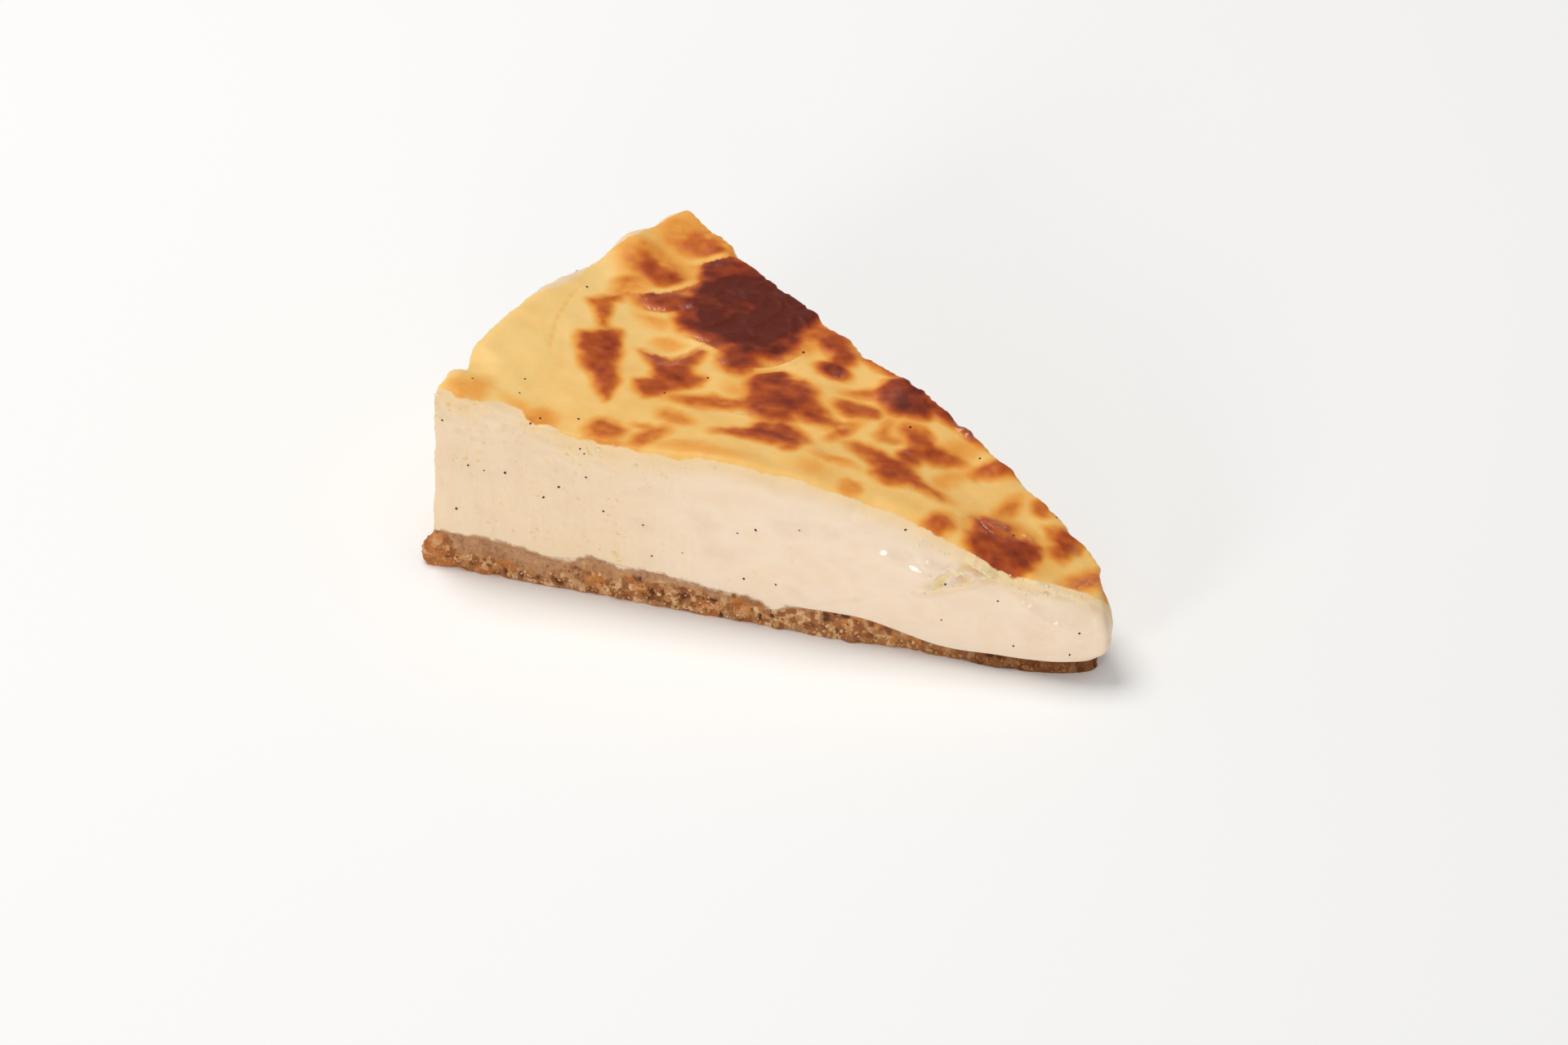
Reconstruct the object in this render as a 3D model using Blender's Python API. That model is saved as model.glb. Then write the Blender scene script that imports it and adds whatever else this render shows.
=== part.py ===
"""A slice of baked vanilla cheesecake, browned on top, on a pressed biscuit base.

Metres, +Z up. The blunt tip points along +X and the round rim along -X. The slice stands on z = 0, and the
origin lies below the middle of its box. The shapes are worked out in plan round the centre of the whole cake,
where the two cuts nearly meet, and moved to the origin at the end.
"""

import math

import bmesh
import bpy
import numpy as np

# The cake and the two cuts
RIM_RADIUS = 0.1396
FRONT_ANGLE = math.radians(15.0)
BACK_ANGLE = math.radians(16.7)
BACK_MISS = 0.0039  # how far beside the cake's centre the back cut passes
CENTRE = (0.0827, -0.0002)  # where the cake's centre lies, seen from the slice's origin

# Heights of the baked top and of the seam with the base, by distance from the cake's centre
TOP_PROFILE = (
    (0.020, 0.0147),
    (0.030, 0.0162),
    (0.040, 0.0195),
    (0.050, 0.0225),
    (0.065, 0.0257),
    (0.085, 0.0281),
    (0.100, 0.0291),
    (0.120, 0.0319),
    (0.142, 0.0367),
)
FRONT_RISE = (
    (0.025, 0.0006),
    (0.045, 0.0),
    (0.065, 0.0011),
    (0.088, 0.0017),
    (0.106, 0.0001),
    (0.122, -0.0015),
    (0.140, -0.0014),
)
FRONT_REACH = 0.013  # how far in from the front cut that rise fades
TOP_RIPPLES = ((0.00022, 0.024, 3), (0.00014, 0.011, 5))  # height, length and seed of each
SEAM_PROFILE = (
    (0.020, 0.0028),
    (0.045, 0.0027),
    (0.058, 0.0037),
    (0.070, 0.0052),
    (0.080, 0.0046),
    (0.090, 0.0051),
    (0.102, 0.0062),
    (0.124, 0.0058),
    (0.142, 0.0068),
)
SEAM_STRAIGHTENS = 0.020  # behind the front cut the seam turns to run round the cake over this depth
SEAM_DIP = (0.0803, 0.0016, 0.0022, 0.006)  # place along the front cut, depth, reach, reach inwards
SEAM_RIPPLES = ((0.00022, 0.021, 11),)
SEAM_GAP = 0.0003  # the base stays this far below the filling

# Low swells of the top: x and y from the cake's centre, height, reach
TOP_SWELLS = (
    (-0.1350, 0.0215, 0.0016, 0.0042),
    (-0.1355, 0.0315, 0.0008, 0.0030),
    (-0.1370, 0.0125, -0.0010, 0.0050),
    (-0.1380, -0.0080, 0.0005, 0.0050),
    (-0.1355, -0.0255, -0.0022, 0.0030),
    (-0.1330, -0.0330, 0.0004, 0.0045),
    (-0.1350, 0.0360, 0.0008, 0.0050),
    (-0.1220, 0.0320, 0.0010, 0.0045),
    (-0.1020, 0.0270, 0.0007, 0.0110),
    (-0.1070, 0.0150, 0.0007, 0.0120),
    (-0.0900, 0.0020, 0.0005, 0.0070),
    (-0.0760, 0.0180, 0.0016, 0.0055),
    (-0.0880, 0.0215, -0.0004, 0.0030),
    (-0.0530, 0.0105, 0.0006, 0.0035),
    (-0.0480, 0.0100, -0.0006, 0.0030),
    (-0.0420, -0.0060, 0.0006, 0.0050),
)

# Rounded edges of the filling
RIM_ROUND = 0.0027
BACK_ROUND = 0.0012
FRONT_ROUND = (
    (0.020, 0.0016),
    (0.036, 0.0016),
    (0.050, 0.0034),
    (0.062, 0.0046),
    (0.078, 0.0028),
    (0.095, 0.0009),
    (0.140, 0.0007),
)
FILLING_FOOT_ROUND = 0.0006

# Relief of the filling's sides
SHOULDER = (0.063, 0.015, 0.0005, 0.013, 0.008)  # place along the cut, height, swell, reach, reach up
TEAR_DEPTH = 0.0006
TEAR_ALONG = (0.034, 0.040, 0.0510, 0.0545)  # starts, full, still full, ends
TEAR_HEIGHT = (0.008, 0.013, 0.018, 0.021)
FRONT_RIPPLES = ((0.00016, 0.017, 21),)
BACK_RIPPLES = ((0.00022, 0.020, 23), (0.00012, 0.009, 25))
RIM_FLARE = 0.0009  # the rim side leans out this far from the top to its foot
RIM_FLARE_HEIGHTS = (0.030, 0.006)
RIM_HOLLOW = (0.029, 0.0004, 0.003)  # height, depth, reach
RIM_DENTS = (  # place round the rim, outwards, reach
    (-0.0266, -0.0008, 0.0026),
    (0.0150, -0.0007, 0.0050),
    (0.0240, 0.0007, 0.0040),
)
RIM_DENT_HEIGHTS = (0.018, 0.033)
RIM_RIPPLES = ((0.00016, 0.008, 27),)
RIM_UPRIGHT = 0.4  # ripples of the rim side run this much longer upwards
RIM_REACH = 0.020  # how far in from the rim side its relief fades

# The blunt tip of each piece: where the sides start to close, and how far it reaches from there
FILLING_TIP_START = 0.033
FILLING_TIP_LENGTH = (
    (0.0, 0.0070),
    (0.10, 0.0083),
    (0.40, 0.0090),
    (0.75, 0.0087),
    (1.0, 0.0077),
)
FILLING_TIP_LEAN = 0.26  # the tip reaches further on the front side
BASE_TIP_START = 0.044
BASE_TIP_LENGTH = 0.0174
BASE_TIP_LEAN = 0.02

# The biscuit base
BASE_RADIUS = 0.1413
BASE_RIM_BULGE = 0.0011
BASE_RIM_ROUND = 0.0030
BASE_EDGE_ROUND = 0.0004
BASE_RIM_REACH = 0.004
BASE_RIPPLES = ((0.00018, 0.0075, 31), (0.00015, 0.0036, 32))
BASE_SPREAD = 0.00030  # the pressed crumbs stand this far outside the cut
BASE_TUCK = 0.0001  # and tuck in this far at the ground
BASE_TUCK_HEIGHT = 0.0016

# Mesh
FILLING_CUTS = (96, 40, 14)
BASE_CUTS = (84, 32, 4)
END_SHARE = 0.12  # share of the cuts along the slice that the blunt tip takes
LENGTH_CROWDING = 0.25
EDGE_CROWDING = 0.55
FILLING_KEEP = 0.28
BASE_KEEP = 0.40


def smooth_curve(points, at):
    """A smooth line through points (place, value), read at many places."""
    place, value = np.array(points).T
    slope = np.gradient(value, place)
    at = np.clip(at, place[0], place[-1])
    k = np.clip(np.searchsorted(place, at) - 1, 0, len(place) - 2)
    width = place[k + 1] - place[k]
    f = (at - place[k]) / width
    return (
        value[k] * (1 + 2 * f) * (1 - f) ** 2
        + value[k + 1] * f**2 * (3 - 2 * f)
        + width * f * (1 - f) * (slope[k] * (1 - f) - slope[k + 1] * f)
    )


def waves(x, y, length, seed, count=9):
    """Uneven waves about one unit high, of the given length, the same on each run."""
    rng = np.random.default_rng(seed)
    total = np.zeros_like(x)
    for _ in range(count):
        heading = rng.uniform(0, 2 * math.pi)
        pitch = 2 * math.pi / (length * rng.uniform(0.7, 1.4))
        phase = rng.uniform(0, 2 * math.pi)
        total += np.sin(pitch * (x * math.cos(heading) + y * math.sin(heading)) + phase)
    return total / math.sqrt(count)


def ripples(x, y, kinds, seed=0):
    return sum(height * waves(x, y, length, own + seed) for height, length, own in kinds)


def hump(distance, reach):
    return np.exp(-((distance / reach) ** 2))


def step(low, high, value):
    f = np.clip((value - low) / (high - low), 0, 1)
    return f * f * (3 - 2 * f)


def plateau(starts, full, still_full, ends, value):
    return step(starts, full, value) * step(ends, still_full, value)


def front_frame(x, y):
    """Distance along the front cut from the cake's centre, and depth behind that cut."""
    along = -x * math.cos(FRONT_ANGLE) - y * math.sin(FRONT_ANGLE)
    depth = -x * math.sin(FRONT_ANGLE) + y * math.cos(FRONT_ANGLE)
    return along, depth


def top_height(x, y):
    """The baked top before its edges are rounded."""
    height = smooth_curve(TOP_PROFILE, np.hypot(x, y))
    along, depth = front_frame(x, y)
    height += smooth_curve(FRONT_RISE, along) * hump(depth, FRONT_REACH)
    for at_x, at_y, rise, reach in TOP_SWELLS:
        height += rise * hump(np.hypot(x - at_x, y - at_y), reach)
    return height + ripples(x, y, TOP_RIPPLES)


def seam_height(x, y):
    """The underside of the cheese, where it meets the biscuit."""
    along, depth = front_frame(x, y)
    place = along + (np.hypot(x, y) - along) * step(0, SEAM_STRAIGHTENS, depth)
    at, deep, reach, reach_in = SEAM_DIP
    dip = deep * hump(along - at, reach) * hump(depth, reach_in)
    return smooth_curve(SEAM_PROFILE, place) - dip + ripples(x, y, SEAM_RIPPLES)


def front_relief(along, height):
    """How far the front cut of the filling stands proud of the flat knife cut."""
    at, at_height, swell, reach, reach_up = SHOULDER
    shoulder = swell * hump(along - at, reach) * hump(height - at_height, reach_up)
    tear = TEAR_DEPTH * plateau(*TEAR_ALONG, along) * plateau(*TEAR_HEIGHT, height)
    return shoulder - tear + ripples(along, height, FRONT_RIPPLES)


def back_relief(along, height):
    return ripples(along, height, BACK_RIPPLES)


def rim_relief(angle, height):
    """The cheese wall leans out a little to its foot and is dented where the baked skin shrank."""
    around = angle * RIM_RADIUS
    at_height, deep, reach = RIM_HOLLOW
    relief = RIM_FLARE * step(*RIM_FLARE_HEIGHTS, height) - deep * hump(height - at_height, reach)
    for at, outwards, reach in RIM_DENTS:
        relief += outwards * hump(around - at, reach) * step(*RIM_DENT_HEIGHTS, height)
    return relief + ripples(around, height * RIM_UPRIGHT, RIM_RIPPLES)


def base_relief(along, height, seed):
    """Pressed crumbs that break away unevenly at the cut and tuck under at the ground."""
    tuck = BASE_TUCK * step(BASE_TUCK_HEIGHT, 0.0, height)
    return BASE_SPREAD + ripples(along, height, BASE_RIPPLES, seed) - tuck


def crowd(f, amount):
    """Moves even places between -1 and 1 towards both ends."""
    return (1 - amount) * f + amount * np.sin(f * math.pi / 2)


def in_plan(t, v, radius, tip_start, tip_length, tip_lean):
    """Distance and angle from the cake's centre, and nearness to the sides, for places in the box.

    t runs from the rim to the tip and v from the front cut to the back cut. Past tip_start the square
    end of the box closes into a half round.
    """
    end = np.clip((t - (1 - END_SHARE)) / END_SHARE, 0, 1)
    body = np.clip(t / (1 - END_SHARE), 0, 1)
    body = 0.5 + 0.5 * crowd(2 * body - 1, LENGTH_CROWDING)
    distance = radius + (tip_start - radius) * body
    distance = distance - tip_length * end * np.sqrt(1 - v * v / 2) * (1 - tip_lean * v)
    side = v * np.sqrt(1 - end * end / 2)
    back = BACK_ANGLE - np.arcsin(BACK_MISS / distance)
    angle = (back - FRONT_ANGLE) / 2 + side * (back + FRONT_ANGLE) / 2
    half_width = distance * np.sin((back + FRONT_ANGLE) / 2)
    rounded = np.sqrt(end**2 + v**2 - (end * v) ** 2)
    return distance, angle, side, (1 - rounded) * half_width


def rounding(gaps, radii):
    """How much a face falls away near its edges, from its gap to each edge and the edge's radius."""
    near = [np.clip(1 - gap / radius, 0, 1) for gap, radius in zip(gaps, radii)]
    weight = sum(n**2 for n in near) + 1e-12
    radius = sum(n**2 * r for n, r in zip(near, radii)) / weight
    return radius * (1 - np.sqrt(1 - np.clip(weight, 0, 1)))


def push_sides(x, y, side, front, back):
    """Moves points out across the front cut and the back cut."""
    at_front = np.clip(-side, 0, 1) ** 3 * front
    at_back = np.clip(side, 0, 1) ** 3 * back
    x = x + at_front * math.sin(FRONT_ANGLE) + at_back * math.sin(BACK_ANGLE)
    y = y - at_front * math.cos(FRONT_ANGLE) + at_back * math.cos(BACK_ANGLE)
    return x, y


def filling_shape(t, v, w):
    """The place in the cake of each point (t, v, w) of the box."""
    tip_length = smooth_curve(FILLING_TIP_LENGTH, w)
    tip = FILLING_TIP_START, tip_length, FILLING_TIP_LEAN
    distance, angle, side, gap = in_plan(t, v, RIM_RADIUS, *tip)
    x, y = -distance * np.cos(angle), distance * np.sin(angle)
    front_round = smooth_curve(FRONT_ROUND, distance)
    side_round = front_round + (BACK_ROUND - front_round) * step(-1, 1, side)
    rim_gap = RIM_RADIUS - distance
    fall = rounding((gap, rim_gap), (side_round, np.full_like(x, RIM_ROUND)))
    foot = np.full_like(x, FILLING_FOOT_ROUND)
    bottom = seam_height(x, y) + rounding((gap, rim_gap), (foot, foot))
    top = top_height(x, y) - fall
    z = bottom + (top - bottom) * w
    along = distance * np.cos(angle + FRONT_ANGLE)
    x, y = push_sides(x, y, side, front_relief(along, z), back_relief(distance, z))
    out = rim_relief(angle, z) * np.clip(1 - rim_gap / RIM_REACH, 0, 1) ** 2
    return x - out * np.cos(angle), y + out * np.sin(angle), z


def base_shape(t, v, w):
    bulge = BASE_RIM_BULGE * np.sin(math.pi * np.clip(w, 0, 1))
    tip = BASE_TIP_START, BASE_TIP_LENGTH, BASE_TIP_LEAN
    distance, angle, side, gap = in_plan(t, v, BASE_RADIUS, *tip)
    x, y = -distance * np.cos(angle), distance * np.sin(angle)
    rim_gap = BASE_RADIUS - distance
    radii = (np.full_like(x, BASE_EDGE_ROUND), np.full_like(x, BASE_RIM_ROUND))
    top = seam_height(x, y) - SEAM_GAP - rounding((gap, rim_gap), radii)
    z = top * w
    x, y = push_sides(x, y, side, base_relief(distance, z, 0), base_relief(distance, z, 4))
    out = bulge + base_relief(angle * BASE_RADIUS, z, 8)
    out = out * np.clip(1 - rim_gap / BASE_RIM_REACH, 0, 1) ** 2
    return x - out * np.cos(angle), y + out * np.sin(angle), z


def box_of_grids(cuts):
    """A unit box whose faces are grids with the given number of cells along x, y and z."""
    bm = bmesh.new()
    bmesh.ops.create_cube(bm, size=1.0)
    for axis, count in enumerate(cuts):
        along = [e for e in bm.edges if abs(e.verts[0].co[axis] - e.verts[1].co[axis]) > 0.5]
        bmesh.ops.subdivide_edges(bm, edges=along, cuts=count - 1)
    return bm


def make_piece(name, cuts, shape, collection):
    """A box of grids carried into the slice by its shape function."""
    bm = box_of_grids(cuts)
    mesh = bpy.data.meshes.new(name)
    bm.to_mesh(mesh)
    bm.free()
    box = np.empty(len(mesh.vertices) * 3, np.float32)
    mesh.vertices.foreach_get("co", box)
    box = box.reshape(-1, 3).astype(float)
    x, y, z = shape(box[:, 0] + 0.5, crowd(2 * box[:, 1], EDGE_CROWDING), box[:, 2] + 0.5)
    placed = np.stack([x + CENTRE[0], y + CENTRE[1], z], axis=-1)
    mesh.vertices.foreach_set("co", placed.astype(np.float32).ravel())
    mesh.update()
    mesh.shade_smooth()
    piece = bpy.data.objects.new(name, mesh)
    collection.objects.link(piece)
    return piece


def make_underside_one_face(piece):
    """The base stands on one flat face."""
    bm = bmesh.new()
    bm.from_mesh(piece.data)
    ground = [f for f in bm.faces if all(abs(v.co.z) < 1e-7 for v in f.verts)]
    bmesh.ops.dissolve_faces(bm, faces=ground)
    bm.to_mesh(piece.data)
    bm.free()


def thin_out(piece, keep):
    """Fewer triangles where the surface is plain. The flat underside keeps its outline."""
    free = piece.vertex_groups.new(name="above the ground")
    free.add([v.index for v in piece.data.vertices if v.co.z > 1e-6], 1.0, "REPLACE")
    thin = piece.modifiers.new("Fewer triangles", "DECIMATE")
    thin.decimate_type = "COLLAPSE"
    thin.ratio = keep
    thin.vertex_group = free.name


def give_material(piece, colour, roughness):
    material = bpy.data.materials.new(piece.name)
    material.use_nodes = True
    shader = material.node_tree.nodes["Principled BSDF"]
    shader.inputs["Base Color"].default_value = (*colour, 1)
    shader.inputs["Roughness"].default_value = roughness
    shader.inputs["Metallic"].default_value = 0
    piece.data.materials.append(material)


def clear_scene():
    for old in list(bpy.data.objects):
        bpy.data.objects.remove(old, do_unlink=True)


def main():
    clear_scene()
    parts = bpy.data.collections.new("cheesecake_slice")
    bpy.context.scene.collection.children.link(parts)

    filling = make_piece("cheese_filling", FILLING_CUTS, filling_shape, parts)
    thin_out(filling, FILLING_KEEP)
    give_material(filling, (0.84, 0.69, 0.50), 0.45)

    base = make_piece("biscuit_base", BASE_CUTS, base_shape, parts)
    make_underside_one_face(base)
    thin_out(base, BASE_KEEP)
    give_material(base, (0.38, 0.22, 0.11), 0.85)


main()
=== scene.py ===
"""Looks of a slice of baked vanilla cheesecake: browned skin, cut cream, pressed biscuit, soft light.

Metres, +Z up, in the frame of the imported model. The shapes are worked out in plan round the centre of the
whole cake, as the solids are, and carry the finer relief that those leave out. Places on
the skin and along the cuts are in millimetres where a table's numbers are above 1.
"""

import math

import bmesh
import bpy
import numpy as np
from mathutils import Matrix, Vector
from mathutils.bvhtree import BVHTree


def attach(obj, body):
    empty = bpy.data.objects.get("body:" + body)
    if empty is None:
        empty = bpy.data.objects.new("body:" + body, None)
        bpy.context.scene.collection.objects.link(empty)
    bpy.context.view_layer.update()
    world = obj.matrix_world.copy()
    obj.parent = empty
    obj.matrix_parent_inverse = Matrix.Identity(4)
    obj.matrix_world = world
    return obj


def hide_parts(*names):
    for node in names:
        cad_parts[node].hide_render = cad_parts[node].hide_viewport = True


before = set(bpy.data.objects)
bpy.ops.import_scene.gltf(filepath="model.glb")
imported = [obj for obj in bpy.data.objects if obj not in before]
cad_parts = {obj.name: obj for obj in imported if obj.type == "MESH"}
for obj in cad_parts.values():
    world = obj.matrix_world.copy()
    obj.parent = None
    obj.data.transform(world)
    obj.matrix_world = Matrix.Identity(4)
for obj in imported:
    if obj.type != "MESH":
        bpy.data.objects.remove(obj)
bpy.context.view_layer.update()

MM = 0.001

# The cake and the two cuts, as in the solids
RIM_RADIUS = 0.1396
FRONT_ANGLE = math.radians(15.0)
BACK_ANGLE = math.radians(16.7)
BACK_MISS = 0.0039
CENTRE = (0.0827, -0.0002)

TOP_PROFILE = (
    (0.020, 0.0147), (0.030, 0.0162), (0.040, 0.0195), (0.050, 0.0225), (0.065, 0.0257),
    (0.085, 0.0281), (0.100, 0.0291), (0.120, 0.0319), (0.142, 0.0367),
)  # fmt: skip
FRONT_RISE = (
    (0.025, 0.0006), (0.045, 0.0), (0.065, 0.0011), (0.088, 0.0017), (0.106, 0.0001),
    (0.122, -0.0015), (0.140, -0.0014),
)  # fmt: skip
FRONT_REACH = 0.013
TOP_RIPPLES = ((0.00022, 0.024, 3), (0.00014, 0.011, 5))
SEAM_PROFILE = (
    (0.020, 0.0036), (0.026, 0.0035), (0.032, 0.0032), (0.038, 0.0028), (0.046, 0.0025),
    (0.058, 0.0037), (0.070, 0.0052), (0.080, 0.0046), (0.090, 0.0051), (0.102, 0.0062),
    (0.124, 0.0058), (0.142, 0.0068),
)  # fmt: skip
SEAM_STRAIGHTENS = 0.020
SEAM_DIP = (0.0803, 0.0016, 0.0022, 0.006)
SEAM_RIPPLES = ((0.00022, 0.021, 11),)

# Low swells of the top: x and y from the cake's centre, height, reach
TOP_SWELLS = (
    (-0.1350, 0.0215, 0.0016, 0.0042),
    (-0.1355, 0.0315, 0.0008, 0.0030),
    (-0.1370, 0.0125, -0.0010, 0.0050),
    (-0.1380, -0.0080, 0.0005, 0.0050),
    (-0.1355, -0.0255, -0.0022, 0.0030),
    (-0.1330, -0.0330, 0.0004, 0.0045),
    (-0.1350, 0.0360, 0.0008, 0.0050),
    (-0.1220, 0.0320, 0.0010, 0.0045),
    (-0.1020, 0.0270, 0.0007, 0.0110),
    (-0.1070, 0.0150, 0.0007, 0.0120),
    (-0.0900, 0.0020, 0.0005, 0.0070),
    (-0.0760, 0.0180, 0.0016, 0.0055),
    (-0.0880, 0.0215, -0.0004, 0.0030),
    (-0.0530, 0.0105, 0.0006, 0.0035),
    (-0.0480, 0.0100, -0.0006, 0.0030),
    (-0.0420, -0.0060, 0.0006, 0.0050),
)
RIM_ROUND = 0.0027
BACK_ROUND = 0.0012
FRONT_ROUND = (
    (0.020, 0.0016), (0.036, 0.0016), (0.050, 0.0034), (0.062, 0.0046), (0.078, 0.0028),
    (0.095, 0.0009), (0.140, 0.0007),
)  # fmt: skip
FILLING_FOOT_ROUND = 0.00003  # the seam is closer here than in the solids
SHOULDER = (0.063, 0.015, 0.0005, 0.013, 0.008)
TEAR_DEPTH = 0.0006
TEAR_ALONG = (0.034, 0.040, 0.0510, 0.0545)
TEAR_HEIGHT = (0.008, 0.013, 0.018, 0.021)
FRONT_RIPPLES = ((0.00016, 0.017, 21),)
BACK_RIPPLES = ((0.00022, 0.020, 23), (0.00012, 0.009, 25))
RIM_FLARE = 0.0009
RIM_FLARE_HEIGHTS = (0.030, 0.006)
RIM_HOLLOW = (0.029, 0.0004, 0.003)
RIM_DENTS = (
    (-0.0266, -0.0008, 0.0026),
    (0.0150, -0.0007, 0.0050),
    (0.0240, 0.0007, 0.0040),
)
RIM_DENT_HEIGHTS = (0.018, 0.033)
RIM_RIPPLES = ((0.00016, 0.008, 27),)
RIM_UPRIGHT = 0.4
RIM_REACH = 0.020
FILLING_TIP_START = 0.033
FILLING_TIP_LENGTH = (
    (0.0, 0.0070), (0.10, 0.0083), (0.40, 0.0090), (0.75, 0.0087), (1.0, 0.0077),
)  # fmt: skip
FILLING_TIP_LEAN = 0.26
BASE_TIP_START = 0.044
BASE_TIP_LENGTH = 0.0174
BASE_TIP_LEAN = 0.02
BASE_RADIUS = 0.1413
BASE_RIM_BULGE = 0.0011
BASE_RIM_ROUND = 0.0030
BASE_EDGE_ROUND = 0.00003
BASE_RIM_REACH = 0.004
BASE_RIPPLES = ((0.00018, 0.0075, 31), (0.00015, 0.0036, 32))
BASE_SPREAD = 0.00030
# Towards the tip the biscuit stands back under the front cut and the cream hangs down in front of it
BASE_INSET = (
    (20, -0.3), (28, -0.5), (34, -0.2), (40, 0.3), (48, 0.8), (54, 0.9), (60, 0.7), (66, 0.1),
    (69, 0.0), (72, 0.0), (142, 0.0),
)  # fmt: skip
LIP = ((20, 0.0), (39, 0.0), (42, 0.0), (48, 0.3), (54, 0.5), (59, 0.4), (65, 0.0), (68, 0.0), (142, 0.0))
LIP_REACH = 0.0009
END_SHARE = 0.12
LENGTH_CROWDING = 0.25
EDGE_CROWDING = 0.55

# Meshes of the looks
CHEESE_CUTS = (322, 132, 50)
BISCUIT_CUTS = (440, 130, 26)
SHARP_FROM = math.radians(65)  # edges at least this sharp are not shaded smooth, as where the pieces meet
HIDDEN_KEEP = 0.05  # share of the triangles left where the two pieces meet and nothing shows

# Where the skin ends above the front cut: place along the cut, and height plus depth behind the cut
SKIN_EDGE = (
    (22, 17.2), (25, 17.7), (30, 18.5), (35, 18.1), (40, 18.7), (45, 20.9), (50, 22.7), (55, 24.7),
    (60, 26.2), (65, 27.4), (70, 28.3), (75, 29.1), (80, 29.5), (85, 29.7), (90, 29.9), (95, 29.3),
    (100, 28.9), (105, 29.3), (109, 29.0), (112, 29.5), (116, 29.5), (117.5, 30.2), (119, 31.3),
    (122.5, 31.0), (124, 31.9), (125.2, 34.0), (127, 34.8), (129.5, 34.7), (131, 33.9), (133.5, 33.0),
    (135.5, 33.0), (137, 34.0), (142, 34.2),
)  # fmt: skip
SKIN_DROP = 0.8  # how far the skin laps over the back edge
NOSE_SKIN_DROP = 2.2  # and how much further at the nose
# How far the skin laps over the rim's edge: place round the rim, drop. A negative drop stops short of it.
RIM_SKIN_DROP = (
    (-37, 1.5), (-30, 2.5), (-24, 3.4), (-12, 2.2), (-6, 0.6), (-2, -2.2), (2, -3.2), (8, -2.8),
    (12, -0.8), (16, -0.6), (20, -2.0), (24, -2.0), (27, 0.2), (31, -1.4), (38, 0.2),
)  # fmt: skip
SKIN_WAVER = ((0.16, 0.0050, 41), (0.07, 0.0018, 42))

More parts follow.
